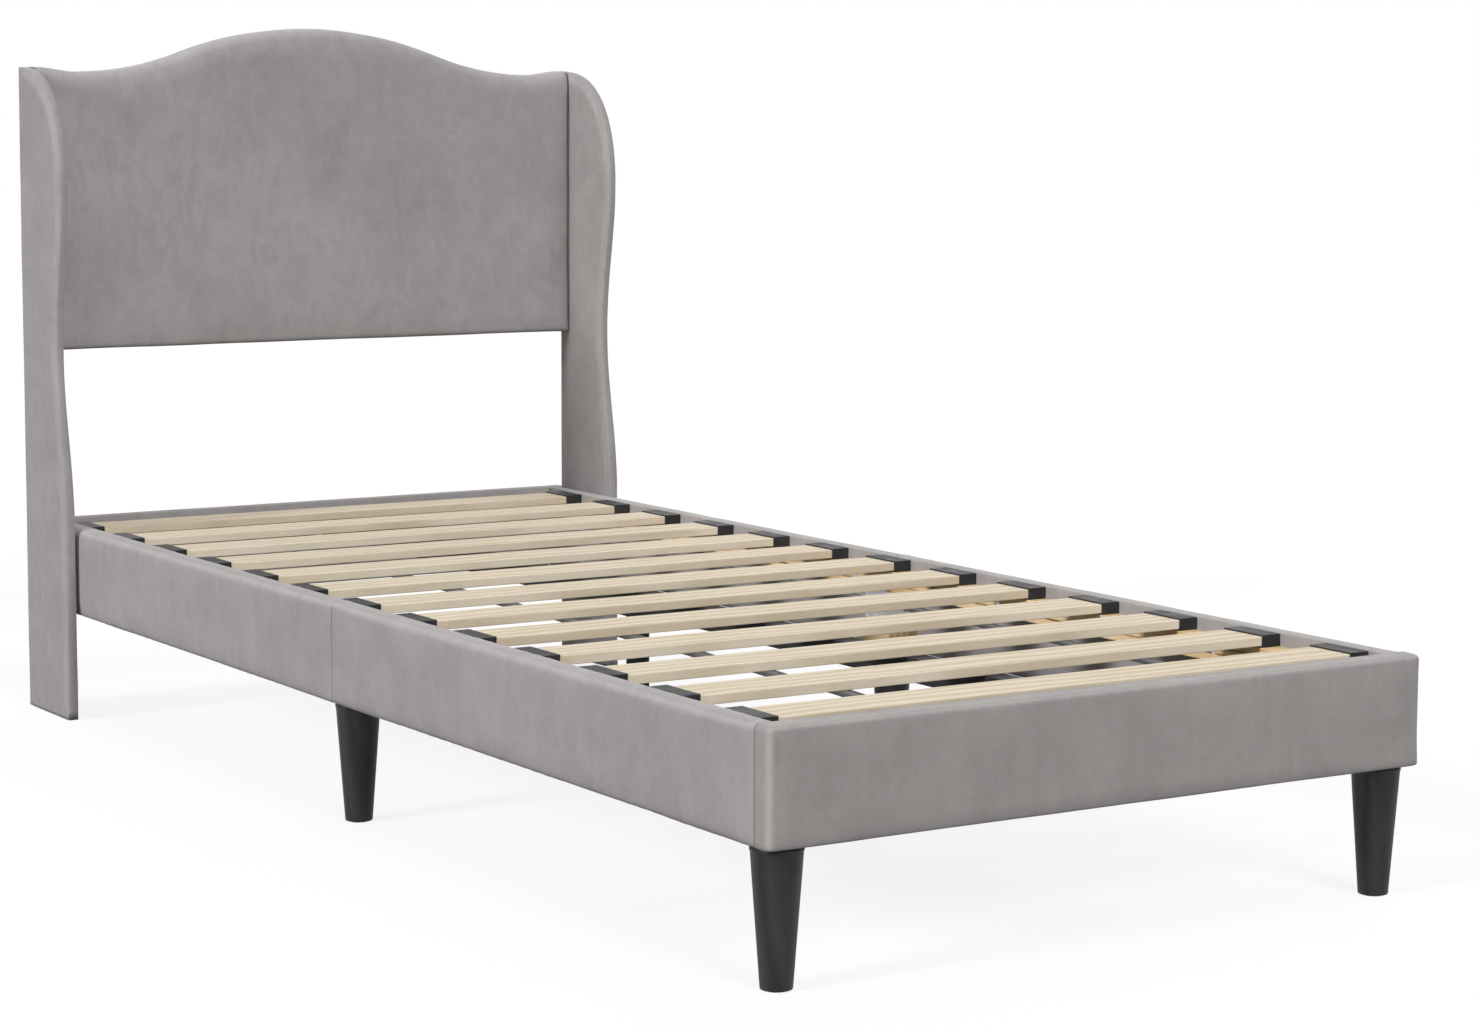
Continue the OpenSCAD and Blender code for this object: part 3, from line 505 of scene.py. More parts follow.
def swollen(piece, held, cap, voxel):
    """Lets cloth under pressure swell a coarse copy, then moves the piece's points as the copy moved.

    No point moves further than the cap.
    """
    scene = bpy.context.scene
    copy = add_to_scene("pressure_copy", piece.data.copy())
    remesh = copy.modifiers.new("remesh", "REMESH")
    remesh.mode = "VOXEL"
    remesh.voxel_size = voxel
    depsgraph = bpy.context.evaluated_depsgraph_get()
    even = bpy.data.meshes.new_from_object(copy.evaluated_get(depsgraph))
    copy.modifiers.clear()
    copy.data = even
    pins = copy.vertex_groups.new(name="held")
    pins.add([vert.index for vert in even.vertices if held(vert.co)], 1.0, "REPLACE")
    rest = [vert.co.copy() for vert in even.vertices]
    cloth = copy.modifiers.new("cloth", "CLOTH")
    cloth.settings.use_pressure = True
    cloth.settings.uniform_pressure_force = cloth_pressure
    cloth.settings.vertex_group_mass = "held"
    cloth.settings.effector_weights.gravity = 0
    cloth.settings.quality = cloth_quality
    cloth.point_cache.frame_start = 1
    cloth.point_cache.frame_end = cloth_frames
    for step in range(1, cloth_frames + 1):
        scene.frame_set(step)
    depsgraph = bpy.context.evaluated_depsgraph_get()
    moved = copy.evaluated_get(depsgraph).data
    moves = [vert.co - start for vert, start in zip(moved.vertices, rest)]
    tree = KDTree(len(rest))
    for index, place in enumerate(rest):
        tree.insert(place, index)
    tree.balance()
    for vert in piece.data.vertices:
        near = [(moves[index], 1 / (distance + nearest_distance))
                for place, index, distance in tree.find_n(vert.co, points_followed)]
        total = sum(weight for near_move, weight in near)
        move = sum((near_move * weight for near_move, weight in near), Vector()) / total
        if move.length > smallest_move:
            vert.co += move.normalized() * cap * math.tanh(move.length / cap)
    scene.frame_set(1)
    bpy.data.objects.remove(copy)


def ramp(value, full, none):
    """1 where the value is at most full, falling to 0 where it reaches none."""
    part = min(max((none - value) / (none - full), 0.0), 1.0)
    return part * part * (3 - 2 * part)


def fading(distance, start, share, reach):
    """A shade that has its full share at the start and fades out beyond it."""
    return min(1.0, share * math.exp((start - distance) / reach))


def rounding(vert, axis):
    """1 halfway round the edge between a face across the axis and its neighbour, 0 on the faces."""
    along = vert.normal[axis] ** 2
    return max(0.0, 1 - abs(2 * along - 1)) ** 1.2


def painted_light_marks(piece, number, highlight_at, shade_at):
    """Stores where a highlight is painted, where shade is painted, and a number that shifts the piece's
    clouds.
    """
    mesh = piece.data
    edge = mesh.attributes.new("edge", "FLOAT", "POINT")
    painted_shade = mesh.attributes.new("painted_shade", "FLOAT", "POINT")
    shift = mesh.attributes.new("piece", "FLOAT", "POINT")
    for vert in mesh.vertices:
        edge.data[vert.index].value = highlight_at(vert)
        painted_shade.data[vert.index].value = shade_at(vert)
        shift.data[vert.index].value = number


def unevenness(piece, amount, number):
    """Slow swells of the wadding, pushed along each point's normal.

    The piece's number moves it to its own part of the noise.
    """
    normals = [vert.normal.copy() for vert in piece.data.vertices]
    for vert, normal in zip(piece.data.vertices, normals):
        place = vert.co / swell_size + Vector((number * 3.7, number * 1.3, 0))
        slow = noise.noise(place)
        quick = noise.noise(place * quick_scale) * quick_share
        vert.co += normal * amount * (slow + quick)


def upholster(piece, number, held, cap, voxel, amount=swell_depth):
    """Swells a padded piece, except where it is held down, and adds slow uneven swells."""
    swollen(piece, held, cap, voxel)
    unevenness(piece, amount, number)
    piece.data.update()


def mirrored_copy(piece, name, replaced, number):
    """The same piece for the other side of the bed."""
    shape = bmesh.new()
    shape.from_mesh(piece.data)
    bmesh.ops.scale(shape, vec=(-1, 1, 1), verts=shape.verts)
    bmesh.ops.reverse_faces(shape, faces=shape.faces)
    twin = new_piece(name, shape, piece.data.materials[0], replaced)
    for item in twin.data.attributes["piece"].data:
        item.value = number


def inset_rings(shape, face, reaches, layer):
    """Insets a flat face ring by ring, so that its rim can be rounded.

    The layer notes how far in each ring lies.
    """
    done = 0.0
    for reach in reaches:
        bmesh.ops.inset_region(shape, faces=[face], thickness=reach - done, use_even_offset=True)
        done = reach
        for vert in face.verts:
            vert[layer] = reach


def crown(distance, width, height):
    """How far a padded face has dropped at a distance from its edge: a quarter of an ellipse."""
    part = min(max(distance / width, 0.0), 1.0)
    return height * (1 - math.sqrt(max(0.0, 1 - (1 - part) ** 2)))


top_edge_radius = 0.011
under_edge_radius = 0.0045
inner_edge_radius = 0.004
butt_edge_radius = 0.0028
rail_cell = 0.010
rail_voxel = 0.0075
held_strip = 0.004
held_underneath = 0.003
under_edge_start = 0.002
under_edge_reach = 0.003
rail_under_cuts = (0.0065, 0.0095)
seam_shade = 0.6
rail_under_shade = 0.85


def make_rail(end, number):
    """One half of a side rail: drawn on the left, with its mirror image on the right."""
    node = "rail_cover_" + end + "_left"
    low, high = span_of(node)
    shape = block_shape(low, high)
    round_off(shape, edges_on(shape, (0, low.x), (2, high.z)), top_edge_radius, 7)
    round_off(shape, edges_on(shape, (0, low.x), (2, low.z)), under_edge_radius, 6)
    round_off(shape, edges_on(shape, (0, high.x), (2, high.z)), inner_edge_radius, 4)
    round_off(shape, edges_on(shape, (1, low.y)) + edges_on(shape, (1, high.y)), butt_edge_radius, 4)
    cut_grid(shape, (0, rail_cell, rail_cell))
    cut_at(shape, 2, [low.z + height for height in rail_under_cuts])
    rail = new_piece("rail_upholstery_" + end + "_left", shape, rail_velvet, [node])

    # Painted shade: darker at the seam where the halves meet and along the underside edge
    def shade_mask(vert):
        seam = seam_shade * ramp(min(vert.co.y - low.y, high.y - vert.co.y), 0.0002, 0.0018)
        underside_shade = fading(vert.co.z - low.z, under_edge_start, rail_under_shade, under_edge_reach)
        return max(seam, underside_shade)

    def held(place):
        return (place.x > high.x - held_strip or place.z < low.z + held_underneath
                or place.y < low.y + held_strip or place.y > high.y - held_strip)

    # Painted highlight on the rounded edges, and the painted shade above
    painted_light_marks(rail, number, lambda vert: rounding(vert, 0), shade_mask)
    upholster(rail, number, held, cap=0.0012, voxel=rail_voxel)
    twin_name = "rail_upholstery_" + end + "_right"
    mirrored_copy(rail, twin_name, ["rail_cover_" + end + "_right"], number + 5)


foot_corner_radius = 0.0095
foot_top_radius = 0.0065
foot_under_radius = 0.0035
foot_under_cuts = (0.007, 0.0105)
foot_back_cuts = (0.0012, 0.003)
foot_held_behind = 0.005
foot_under_shade = 0.45
foot_behind_shade = 0.8


def make_foot_panel():
    """The panel across the foot end, which covers the ends of the side rails."""
    low, high = span_of("foot_cover")
    shape = block_shape(low, high)
    corners = edges_on(shape, (1, low.y), (0, low.x)) + edges_on(shape, (1, low.y), (0, high.x))
    round_off(shape, corners, foot_corner_radius, 7)
    top_front = [edge for edge in edges_on(shape, (2, high.z)) if not lies_on(edge, 1, high.y)]
    round_off(shape, top_front, foot_top_radius, 6)
    round_off(shape, edges_on(shape, (2, low.z)), foot_under_radius, 5)
    cut_grid(shape, (rail_cell, 0, rail_cell))
    cut_at(shape, 2, [low.z + height for height in foot_under_cuts])
    cut_at(shape, 1, [high.y - depth for depth in foot_back_cuts])
    panel = new_piece("foot_panel_upholstery", shape, foot_velvet, ["foot_cover"])

    # Painted shade: darker at the back where the rails meet it and along the bottom edge
    def shade_mask(vert):
        behind = foot_behind_shade * ramp(high.y - vert.co.y, 0.0003, 0.003)
        underside_shade = fading(vert.co.z - low.z, under_edge_start, foot_under_shade, under_edge_reach)
        return max(behind, underside_shade)

    def held(place):
        return place.y > high.y - foot_held_behind or place.z < low.z + held_underneath

    # Painted highlight on the rounded edges, and the painted shade above
    painted_light_marks(panel, 3.0, lambda vert: rounding(vert, 1), shade_mask)
    upholster(panel, 3.0, held, cap=0.0010, voxel=rail_voxel)


head_rail_radius = 0.002
head_rail_cell = 0.02


def make_head_rail():
    """The rail across the head end, between the side rails."""
    low, high = span_of("head_rail_cover")
    shape = block_shape(low, high)
    round_off(shape, list(shape.edges), head_rail_radius, 3)
    cut_grid(shape, (head_rail_cell, 0, head_rail_cell))
    rail = new_piece("head_rail_upholstery", shape, rail_velvet, ["head_rail_cover"])
    # Painted highlight on the rounded edges; no painted shade
    painted_light_marks(rail, 9.0, lambda vert: rounding(vert, 1), lambda vert: 0.0)
    unevenness(rail, 0.0003, 9.0)


# Headboard panel: its sizes first
panel_low, panel_high = span_of("headboard_cover")
crest_z = panel_high.z
dip_z = 0.9925
dip_x = 0.400
crest_radius = 0.650
shoulder_height = 0.0066
shoulder_width = 0.062
back_turn = 0.045
crest_rise = crest_z - dip_z
arc_sum = (dip_x ** 2 + crest_rise ** 2) / (2 * crest_rise)
dip_radius = arc_sum - crest_radius
meet_x = dip_x * crest_radius / arc_sum
top_crown = (0.028, 0.013)
side_crown = (0.009, 0.009)
lower_crown = (0.008, 0.006)
deepest_crown = 0.026
back_crown = (0.003, 0.0025)
panel_columns = 70
panel_rows = 34
window_edge = back_turn + 0.0003
velvet_on_back = 0.0018
panel_held_behind = 0.018
# The band's top edge and slope, and the shares of the painted light and shade on the panel
stroke_top = 1.010
stroke_slope = 0.42
top_highlight_share = 0.7
lit_strip_share = 0.22
stroke_share = 0.5
above_stroke_shade = 0.07
panel_under_shade = 0.5
panel_under_reach = 0.0035


def ease(part):
    """An S-curve from 0 to 1."""
    return (1 - math.cos(math.pi * part)) / 2


def panel_top(x):
    """Height of the panel's top edge: a crest, a dip and a small rise beside each wing."""
    side = abs(x)
    if side <= meet_x:
        return crest_z - crest_radius + math.sqrt(crest_radius ** 2 - side ** 2)
    if side <= dip_x:
        return dip_z + dip_radius - math.sqrt(dip_radius ** 2 - (dip_x - side) ** 2)
    return dip_z + shoulder_height * ease(min(1, (side - dip_x) / shoulder_width))


def panel_outline(y, inset, columns=72):
    half = panel_high.x - inset
    xs = [half * (2 * index / columns - 1) for index in range(columns + 1)]
    top = [(x, y, panel_top(x) - inset) for x in reversed(xs)]
    return [(-half, y, panel_low.z + inset), (half, y, panel_low.z + inset), *top]


def places_between(low, high, near_low, near_high, count):
    """Places along a line: at the given distances from both ends, and evenly in between."""
    start = low + near_low[-1]
    end = high - near_high[-1]
    even = [start + (end - start) * index / count for index in range(1, count)]
    return [low + gap for gap in near_low] + even + [high - gap for gap in reversed(near_high)]


near_window = (back_turn, back_turn + 0.0008)
near_side = (0, 0.001, 0.0025, 0.0045, 0.007, 0.011, 0.020, 0.032, *near_window)
near_bottom = (0, 0.001, 0.0025, 0.0045, 0.007, 0.011, 0.021, 0.033, *near_window)
near_top = (0, 0.001, 0.0025, 0.0045, 0.007, 0.010, 0.0145, 0.020, 0.027, 0.035, *near_window)


def panel_grid():
    """Cells that follow the top edge, close together along all four sides."""
    xs = places_between(-panel_high.x, panel_high.x, near_side, near_side, panel_columns)
    rises = {x: places_between(panel_low.z, panel_top(x), near_bottom, near_top, panel_rows)
             for x in xs}
    across = len(xs) - 1
    upward = len(rises[xs[0]]) - 1
    shape = bmesh.new()
    bmesh.ops.create_grid(shape, x_segments=across, y_segments=upward, size=1)
    for vert in shape.verts:
        x = xs[round((vert.co.x + 1) / 2 * across)]
        z = rises[x][round((vert.co.y + 1) / 2 * upward)]
        vert.co = (x, panel_low.y, z)
    return shape


def make_headboard():
    """The padded panel, with its velvet turned over onto the back."""
    shape = panel_grid()
    grown = bmesh.ops.extrude_face_region(shape, geom=list(shape.faces))
    backs = [item for item in grown["geom"] if isinstance(item, bmesh.types.BMVert)]
    bmesh.ops.translate(shape, vec=(0, panel_high.y - panel_low.y, 0), verts=backs)
    bmesh.ops.recalc_face_normals(shape, faces=shape.faces)
    for vert in shape.verts:
        below = panel_top(vert.co.x) - vert.co.z
        beside = panel_high.x - abs(vert.co.x)
        above = vert.co.z - panel_low.z
        if vert.co.y < panel_low.y + same_place:
            drop = crown(below, *top_crown) + crown(beside, *side_crown) + crown(above, *lower_crown)
            vert.co.y += min(drop, deepest_crown)
        elif min(below, beside, above) > window_edge:
            vert.co.y -= velvet_on_back
        else:
            vert.co.y -= crown(min(below, beside, above), *back_crown)
    panel = new_piece("headboard_upholstery", shape, panel_velvet,
                      ["headboard_cover", "headboard_foam"])

    def below_stroke(vert):
        """How far a point is below the upper edge of a broad stroke, which slopes down to the right."""
        return stroke_top - stroke_slope * (vert.co.x + panel_high.x) - vert.co.z

    # Painted highlight along the top edge, a painted lighter strip a little way in from the left wing,
    # and a broad lighter band sloping down to the right, all mixed towards the lighter colour
    def highlight_mask(vert):
        along = vert.co.x + panel_high.x
        below = below_stroke(vert)
        top_highlight = top_highlight_share * ramp(panel_top(vert.co.x) - vert.co.z, 0.004, 0.018)
        lit_strip = lit_strip_share * ramp(along, 0.17, 0.36) * (1 - ramp(along, 0.09, 0.14))
        swept = (1 - ramp(below, 0, 0.06)) * ramp(below, 0.17, 0.28) * ramp(along, 0.44, 0.66)
        on_front = vert.co.y < panel_low.y + 0.02
        return max(top_highlight, lit_strip, stroke_share * swept) * on_front

    # Painted shade: darker beside the wings, across the upper middle above the band, and along the
    # bottom edge
    def shade_mask(vert):
        inward = panel_high.x - abs(vert.co.x)
        beside = max(ramp(inward, 0.001, 0.006), fading(inward, 0, 0.2, 0.014))
        deep = 1 - ramp(panel_top(vert.co.x) - vert.co.z, 0.02, 0.06)
        central = ramp(abs(vert.co.x), 0.10, 0.30)
        above_stroke = above_stroke_shade * deep * ramp(below_stroke(vert), -0.05, 0.03) * central
        height = vert.co.z - panel_low.z
        underside_shade = fading(height, under_edge_start, panel_under_shade, panel_under_reach)
        return max(beside, above_stroke, underside_shade)

    def held(place):
        behind = place.y > panel_high.y - panel_held_behind
        return behind or abs(place.x) > panel_high.x - held_strip

    painted_light_marks(panel, 1.0, highlight_mask, shade_mask)
    upholster(panel, 1.0, held, cap=0.0016, voxel=0.009, amount=0.0007)


# Wings: their sizes first
wing_foot_depth = 0.167
wing_waist_depth = 0.1365
wing_bulge_depth = 0.164
wing_flare_z = 0.300
wing_waist_z = 0.570
wing_bulge_z = 0.813
wing_power = 2.25
wing_top_turn = 84
wing_steps = 16
wing_top_steps = 21
wing_rings = (0.0005, 0.0015, 0.003, 0.005, 0.0075, 0.0105, 0.0145, 0.020)
wing_cell = 0.012
wing_held_strip = 0.006
wing_foot_drop = 0.0012
free_reach = 0.030
# Where the painted highlight band lies in from the wing's rim, and how wide it is
highlight_ring = 0.010
highlight_width = 0.0052
patch_size = 0.05


def wing_front(low, high):
    """The wing's front line from the floor up, as depths in front of its back edge and heights."""
    front = [(wing_foot_depth, low.z)]
    for index in range(wing_steps + 1):
        part = index / wing_steps
        depth = wing_waist_depth + (wing_foot_depth - wing_waist_depth) * ease(1 - part)
        front.append((depth, wing_flare_z + (wing_waist_z - wing_flare_z) * part))
    for index in range(1, wing_steps + 1):
        part = index / wing_steps
        depth = wing_waist_depth + (wing_bulge_depth - wing_waist_depth) * ease(part)
        front.append((depth, wing_waist_z + (wing_bulge_z - wing_waist_z) * part))
    for index in range(1, wing_top_steps + 1):
        turn = math.radians(wing_top_turn * index / wing_top_steps)
        depth = wing_bulge_depth * math.cos(turn) ** (2 / wing_power)
        rise = (high.z - wing_bulge_z) * math.sin(turn) ** (2 / wing_power)
        front.append((depth, wing_bulge_z + rise))
    return front


def make_wings():
    """Both wings: drawn on the left, with the mirror image on the right."""
    low, high = span_of("wing_cover_left")
    outline = [(low.x, high.y - depth, z) for depth, z in wing_front(low, high)]
    outline += [(low.x, high.y, high.z), (low.x, high.y, low.z)]
    shape = board_shape(outline, Vector((high.x - low.x, 0, 0)))
    reach = shape.verts.layers.float.new("reach")
    shape.faces.ensure_lookup_table()
    sides = [face for face in shape.faces if abs(face.normal.x) > 0.99]
    for side in sides:
        inset_rings(shape, side, wing_rings, reach)
    cut_grid(shape, (0, wing_cell, wing_cell))
    middle = (low.x + high.x) / 2
    # The rim is rounder where it is free of the back edge, of the floor and, low down, of the rail
    for vert in shape.verts:
        free = 1 - ramp(min(high.y - vert.co.y, vert.co.z - low.z), 0.0, free_reach)
        free *= 1 - (0.5 if vert.co.x < middle else 0.9) * ramp(vert.co.z, 0.30, 0.50)
        drop = crown(vert[reach], 0.002 + 0.008 * free, 0.001 + 0.003 * free)
        vert.co.x += drop if vert.co.x < middle else -drop
        if vert.co.z < low.z + 0.0005:
            vert.co.z -= wing_foot_drop
    wing = new_piece("wing_upholstery_left", shape, wing_velvet, ["wing_cover_left"])
    reached = wing.data.attributes["reach"].data

    # Painted highlight: a patchy band a little way in from the free rim, strongest near the top
    def highlight_mask(vert):
        free = 1 - ramp(min(high.y - vert.co.y, vert.co.z - low.z), 0.005, free_reach)
        patchy = 0.6 + 0.7 * ramp(high.z - vert.co.z, 0.12, 0.21)
        patchy += 0.5 * noise.noise(vert.co / patch_size)
        ring = math.exp(-((reached[vert.index].value - highlight_ring) / highlight_width) ** 2)
        return max(0.0, free * patchy * ring)

    def held(place):
        return place.y > high.y - wing_held_strip or place.z < low.z + wing_held_strip

    # Painted highlight band, and painted shade along the bottom edge
    painted_light_marks(wing, 2.0, highlight_mask, lambda vert: ramp(vert.co.z - low.z, 0.0005, 0.004))
    wing.data.attributes.remove(wing.data.attributes["reach"])
    upholster(wing, 2.0, held, cap=0.0012, voxel=0.0065, amount=0.0004)
    mirrored_copy(wing, "wing_upholstery_right", ["wing_cover_right"], 6.0)


# Dust cloth and staples

staple_width = 0.010
staple_thickness = 0.0006
staple_spacing = 0.06
staple_margin = 0.009
staple_sink = 0.0003
dust_cloth_thickness = 0.0004
dust_cloth_gap = 0.0008
dust_cloth_sink = 0.0006
dust_cloth_cell = 0.03
ripple_depth = 0.00025
ripple_size = 0.07


def make_staples(name, places, laid):
    """Staples seen as their crowns: short flat bars, each laid at a place and turned by an angle."""
    shape = bmesh.new()
    for place, turn in places:
        bar = bmesh.ops.create_cube(shape, size=1)["verts"]
        bmesh.ops.scale(shape, vec=(staple_width, staple_thickness, staple_thickness), verts=bar)
        matrix = Matrix.Translation(place) @ laid @ Matrix.Rotation(turn, 4, "Z")
        bmesh.ops.transform(shape, matrix=matrix, verts=bar)
    new_piece(name, shape, zinc, smooth=False)


def make_dust_cloth():
    """Black cloth stapled into the window that the turned velvet leaves on the back of the panel."""
    high = span_of("headboard_back_cloth")[1]
    inset = back_turn + dust_cloth_gap
    shape = bmesh.new()
    outline = panel_outline(high.y - dust_cloth_sink, inset)
    face = shape.faces.new([shape.verts.new(point) for point in reversed(outline)])
    flat_area = face.calc_area()
    cut_grid(shape, (dust_cloth_cell, 0, dust_cloth_cell))
    for vert in shape.verts:
        vert.co.y += ripple_depth * noise.noise(vert.co / ripple_size)
    cloth = new_piece(
        "headboard_dust_cloth", shape, dust_cloth_finish, ["headboard_back_cloth"])
    thickness = cloth.modifiers.new("thickness", "SOLIDIFY")
    thickness.thickness = dust_cloth_thickness
    thickness.offset = 0
    places = []
    outline = panel_outline(high.y - staple_sink, back_turn + staple_margin, 14)
    for first, second in zip(outline, outline[1:] + outline[:1]):
        start, end = Vector(first), Vector(second)
        count = max(1, round((end - start).length / staple_spacing))
        turn = math.atan2(end.z - start.z, end.x - start.x)
        for index in range(count):
            places.append((start.lerp(end, (index + 0.5) / count), turn))
    make_staples("dust_cloth_staples", places, Matrix.Rotation(math.radians(90), 4, "X"))


# Legs, feet and pads

leg_nodes = ("leg_foot_left", "leg_foot_right", "leg_mid_left", "leg_mid_right")
leg_foot_radius = 0.0182
leg_foot_round = 0.0015
leg_rim_height = 0.005
leg_rim_step = 0.0008
felt_radius = 0.0142
felt_rim = 0.0006
rod_radius = 0.0049
rod_pitch = 0.0015


def turned_shape(profile, centre, steps=96):
    """Spins a profile of radius and height round an upright axis."""
    shape = bmesh.new()
    verts = [shape.verts.new((centre.x + radius, centre.y, z)) for radius, z in profile]
    edges = [shape.edges.new(pair) for pair in zip(verts, verts[1:])]
    bmesh.ops.spin(shape, geom=verts + edges, cent=(centre.x, centre.y, 0), axis=(0, 0, 1),
                   angle=math.tau, steps=steps, use_merge=True)
    bmesh.ops.remove_doubles(shape, verts=shape.verts, dist=merge_distance)
    bmesh.ops.recalc_face_normals(shape, faces=shape.faces)
    return shape


def make_leg(node):
    """A turned leg: a small round-over at the foot, a straight taper and a thin rim at the top."""
    low, high = span_of(node)
    centre = (low + high) / 2
    top = (high.x - low.x) / 2
    foot = leg_foot_radius
    rim = high.z - leg_rim_height
    shank = top - leg_rim_step
    profile = [
        (0, low.z), (foot - leg_foot_round, low.z), (foot - 0.0004, low.z + 0.0005),
        (foot, low.z + leg_foot_round)]
    for index in range(1, 8):
        part = index / 8
        rise = leg_foot_round + (rim - low.z - 2 * leg_foot_round) * part
        profile.append((foot + (shank - foot) * part, low.z + rise))
    profile += [
        (shank, rim - 0.0006), (shank + 0.0002, rim), (top - 0.0002, rim + 0.0002), (top, rim + 0.0006),
        (top, high.z - 0.0006), (top - 0.0006, high.z), (0, high.z)]
    new_piece("turned_" + node, turned_shape(profile, centre), leg_lacquer, [node])


def make_felt_pads():
    """One round pad under each leg."""
    shape = bmesh.new()
    thickness = span_of("leg_pads")[1].z
    for node in leg_nodes:
        leg_low, leg_high = span_of(node)
        centre = (leg_low + leg_high) / 2
        made = bmesh.ops.create_cone(
            shape, cap_ends=True, segments=48, radius1=felt_radius, radius2=felt_radius,
            depth=thickness)
        bmesh.ops.translate(shape, vec=(centre.x, centre.y, thickness / 2), verts=made["verts"])
    round_off(shape, edges_on(shape, (2, 0)), felt_rim, 2)
    new_piece("felt_pads", shape, felt, ["leg_pads"])


def make_levelling_foot():
    """Moulded pad with a threaded rod, which screws down out of the middle leg."""
    low, high = span_of("centre_foot")
    centre = (low + high) / 2
    pad_top = span_of("centre_leg")[0].z
    pad = (high.x - low.x) / 2
    profile = [
        (0, 0), (pad - 0.0012, 0), (pad - 0.0003, 0.0004), (pad, 0.0013),
        (pad, pad_top * 0.42), (pad - 0.0006, pad_top * 0.55), (pad - 0.003, pad_top * 0.68),
        (pad * 0.62, pad_top * 0.80), (pad * 0.55, pad_top * 0.84),
        (pad * 0.54, pad_top - 0.0006), (pad * 0.51, pad_top), (0, pad_top)]
    pad_shape = turned_shape(profile, centre)
    new_piece(
        "levelling_pad", pad_shape, black_plastic, ["centre_foot"], "levelling_foot")
    rod_start = pad_top * 0.8
    root = rod_radius - 0.0006
    profile = [(0, rod_start), (root, rod_start)]
    z = rod_start + rod_pitch
    while z < high.z - rod_pitch:
        profile += [(root, z), (rod_radius, z + rod_pitch * 0.4), (rod_radius, z + rod_pitch * 0.55)]
        z += rod_pitch
    profile += [(rod_radius - 0.0009, high.z), (0, high.z)]
    rod_shape = turned_shape(profile, centre, 32)
    new_piece("levelling_thread", rod_shape, zinc, (), "levelling_foot")


strap_width = 0.030
strap_edge_radius = 0.0004
strap_cell = 0.02
strap_sag = 0.225
widest_sag = 0.045
strap_staple_gap = 0.0001


def make_straps():
    """Two webbing straps under the slats, each stapled to every slat."""
    low, high = span_of("slat_straps")
    slats = [span_of("slat_%02d" % number) for number in range(1, 14)]
    for side, x in (("left", low.x), ("right", high.x - strap_width)):
        shape = block_shape(Vector((x, low.y, low.z)), Vector((x + strap_width, high.y, high.z)))
        free_edges = [edge for edge in shape.edges if not lies_on(edge, 2, high.z)]
        round_off(shape, free_edges, strap_edge_radius, 2)
        cut_grid(shape, (0, strap_cell, 0))
        for vert in shape.verts:
            gap = min(max(0.0, slat_low.y - vert.co.y, vert.co.y - slat_high.y)
                      for slat_low, slat_high in slats)
            vert.co.z -= strap_sag * min(gap, widest_sag) ** 1.5
        replaced = ["slat_straps"] if side == "left" else ()
        new_piece("slat_strap_" + side, shape, webbing, replaced)
    places = []
    for slat_low, slat_high in slats:
        for x in (low.x + strap_width / 2, high.x - strap_width / 2):
            for share, turn in ((0.3, 0.2), (0.7, -0.15)):
                y = slat_low.y + (slat_high.y - slat_low.y) * share
                places.append((Vector((x, y, low.z - strap_staple_gap)), turn))
    make_staples("strap_staples", places, Matrix.Identity(4))


# Finishes of the pieces that stay as they are
kept_finishes = {
    "board": chipboard, "pine": pine, "plywood": birch, "foam": chipboard,
    "steel": zinc, "black_steel": black_paint, "black_plastic": black_plastic,
    "leg_lacquer": leg_lacquer, "velvet": rail_velvet, "webbing": webbing, "felt": felt,
    "dust_cloth": dust_cloth_finish,
}
eased_nodes = ("slat_", "ledgers", "leg_blocks", "beam_", "corner_", "rail_splices", "centre_")
wood_easing = 0.0012
other_easing = 0.0006
eased_corner = 50


def dress_kept_nodes():
    """Gives every solid its finish, and slightly rounded edges where they show."""
    for part in frame["record"]["subparts"]:
        kept = frame["nodes"][part["node"]]
        finish = kept_finishes[part["material_slot"]]
        kept.data.materials.clear()
        kept.data.materials.append(finish)
        if part["node"].startswith(eased_nodes):
            weld = kept.modifiers.new("join", "WELD")
            weld.merge_threshold = same_place
            easing = kept.modifiers.new("eased edges", "BEVEL")
            wooden = part["material_slot"] in ("pine", "plywood")
            easing.width = wood_easing if wooden else other_easing
            easing.segments = 2
            easing.limit_method = "ANGLE"
            easing.angle_limit = math.radians(eased_corner)


# Floor, lights and camera

floor_half = 30
floor_glow = 0.84
floor_seen = (0.15, 0.15, 0.15, 1)
floor_unseen = (0.28, 0.28, 0.28, 1)
sky_seen = (1.0, 1.0, 1.0, 1)
sky_unseen = (0.32, 0.32, 0.323, 1)
camera_place = (-2.3868, -4.0473, 0.9493)
camera_heading = -32.246
camera_dip = 5.886
camera_roll = 0.184
camera_lens = 83.37
camera_shift = -0.04


def seen_rays(tree):
    """1 for rays that show the surroundings themselves, 0 for those that only carry their light."""
    rays = add_node(tree, "ShaderNodeLightPath")
    seen = maths(tree, "MAXIMUM", rays.outputs["Is Camera Ray"], rays.outputs["Is Glossy Ray"])
    return maths(tree, "MAXIMUM", seen, rays.outputs["Is Transmission Ray"])


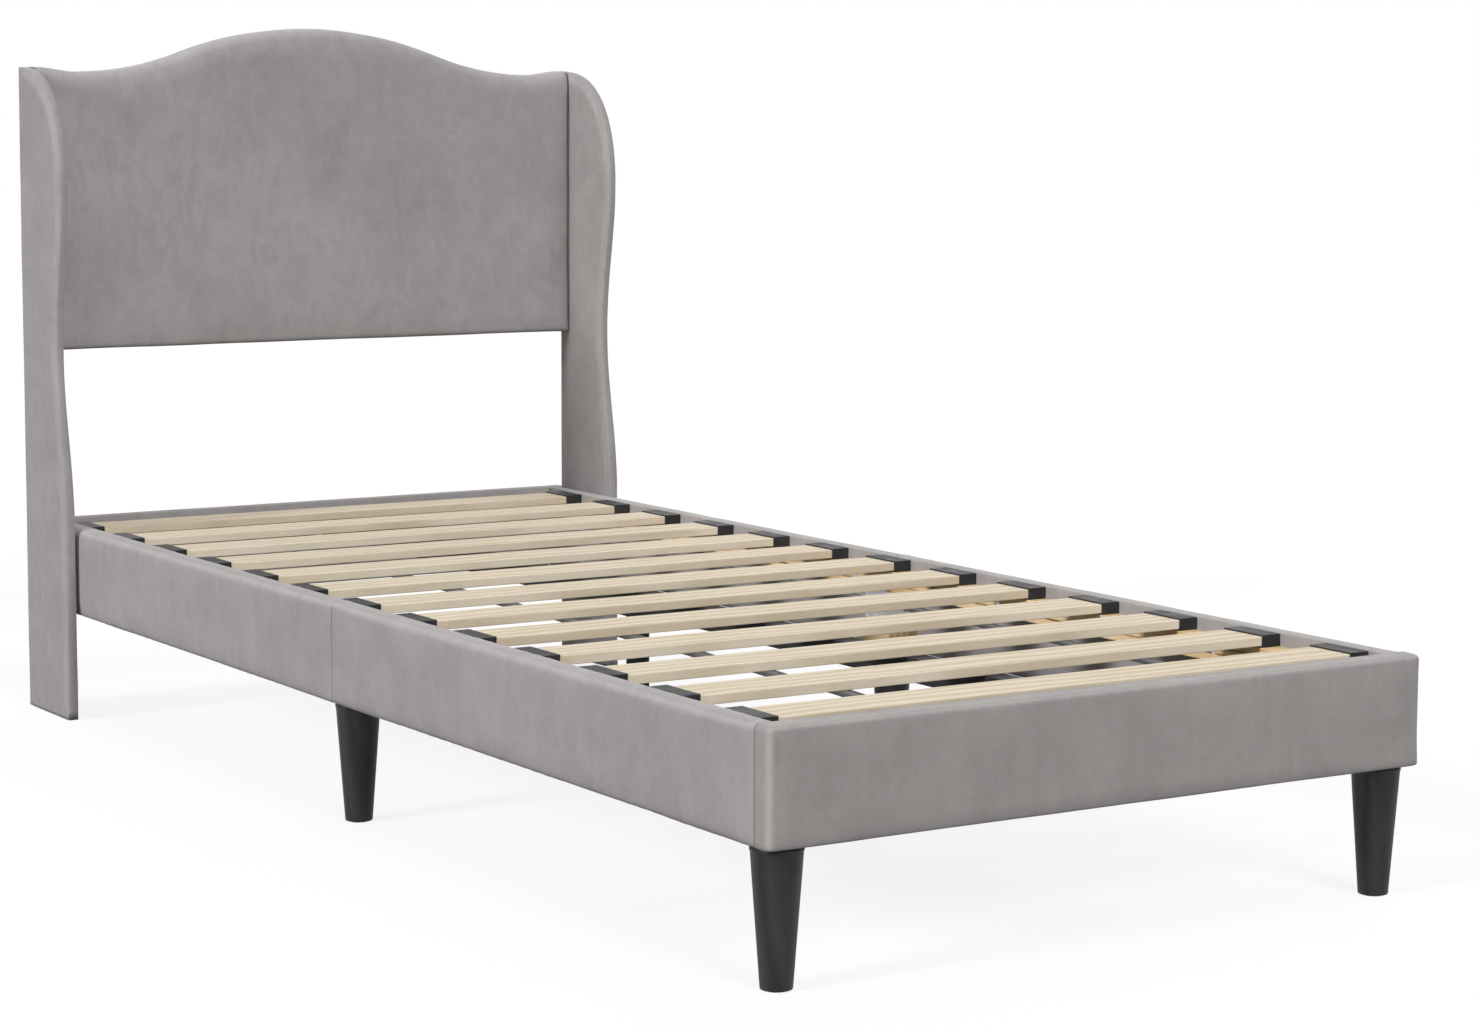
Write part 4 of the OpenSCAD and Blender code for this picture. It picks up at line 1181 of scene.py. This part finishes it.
def make_floor():
    """A pale floor that looks as white as the sky behind it."""
    shape = bmesh.new()
    bmesh.ops.create_grid(shape, x_segments=1, y_segments=1, size=floor_half)
    mesh = bpy.data.meshes.new("floor")
    shape.to_mesh(mesh)
    shape.free()
    floor = add_to_scene("floor", mesh)
    material = bpy.data.materials.new("pale floor")
    material.use_nodes = True
    tree = material.node_tree
    shader = tree.nodes["Principled BSDF"]
    shader.inputs["Roughness"].default_value = 0.9
    shader.inputs["Specular IOR Level"].default_value = 0.0
    glow = add_node(tree, "ShaderNodeEmission")
    seen = seen_rays(tree)
    link(tree, mixed(tree, seen, floor_unseen, floor_seen), shader.inputs["Base Color"])
    link(tree, maths(tree, "MULTIPLY", seen, floor_glow), glow.inputs["Strength"])
    both = add_node(tree, "ShaderNodeAddShader")
    link(tree, shader.outputs["BSDF"], both.inputs[0])
    link(tree, glow.outputs["Emission"], both.inputs[1])
    link(tree, both.outputs["Shader"], tree.nodes["Material Output"].inputs["Surface"])
    mesh.materials.append(material)


def make_world():
    world = bpy.data.worlds.new("studio")
    bpy.context.scene.world = world
    world.use_nodes = True
    tree = world.node_tree
    background = tree.nodes["Background"]
    link(tree, mixed(tree, seen_rays(tree), sky_unseen, sky_seen), background.inputs["Color"])
    background.inputs["Strength"].default_value = 1


def make_sun(name, from_where, softness, strength):
    """An even light from far away, from a patch of sky as many degrees wide as its softness."""
    data = bpy.data.lights.new(name, "SUN")
    data.angle = math.radians(softness)
    data.energy = strength
    lamp = add_to_scene(name, data)
    lamp.rotation_mode = "QUATERNION"
    lamp.rotation_quaternion = Vector(from_where).to_track_quat("Z", "Y")


def make_camera():
    data = bpy.data.cameras.new("camera")
    data.sensor_width = 36
    data.lens = camera_lens
    data.shift_y = camera_shift
    data.clip_end = 2 * floor_half
    camera = add_to_scene("camera", data)
    turn = (Matrix.Rotation(math.radians(camera_heading), 4, "Z")
            @ Matrix.Rotation(math.radians(90 - camera_dip), 4, "X")
            @ Matrix.Rotation(math.radians(camera_roll), 4, "Z"))
    camera.matrix_world = Matrix.Translation(camera_place) @ turn
    bpy.context.scene.camera = camera


make_camera()
make_world()
make_floor()
make_sun("front", from_where=(-0.03, -0.85, 0.52), softness=24, strength=2.05)
make_sun("side", from_where=(-0.90, -0.07, 0.43), softness=14, strength=2.57)
make_sun("back", from_where=(0.62, 0.62, 0.48), softness=60, strength=1.2)
bpy.context.scene.view_settings.view_transform = "Standard"

dress_kept_nodes()
make_rail("foot", 4.0)
make_rail("head", 7.0)
make_foot_panel()
make_head_rail()
make_headboard()
make_wings()
make_dust_cloth()
for leg in leg_nodes:
    make_leg(leg)
make_felt_pads()
make_levelling_foot()
make_straps()
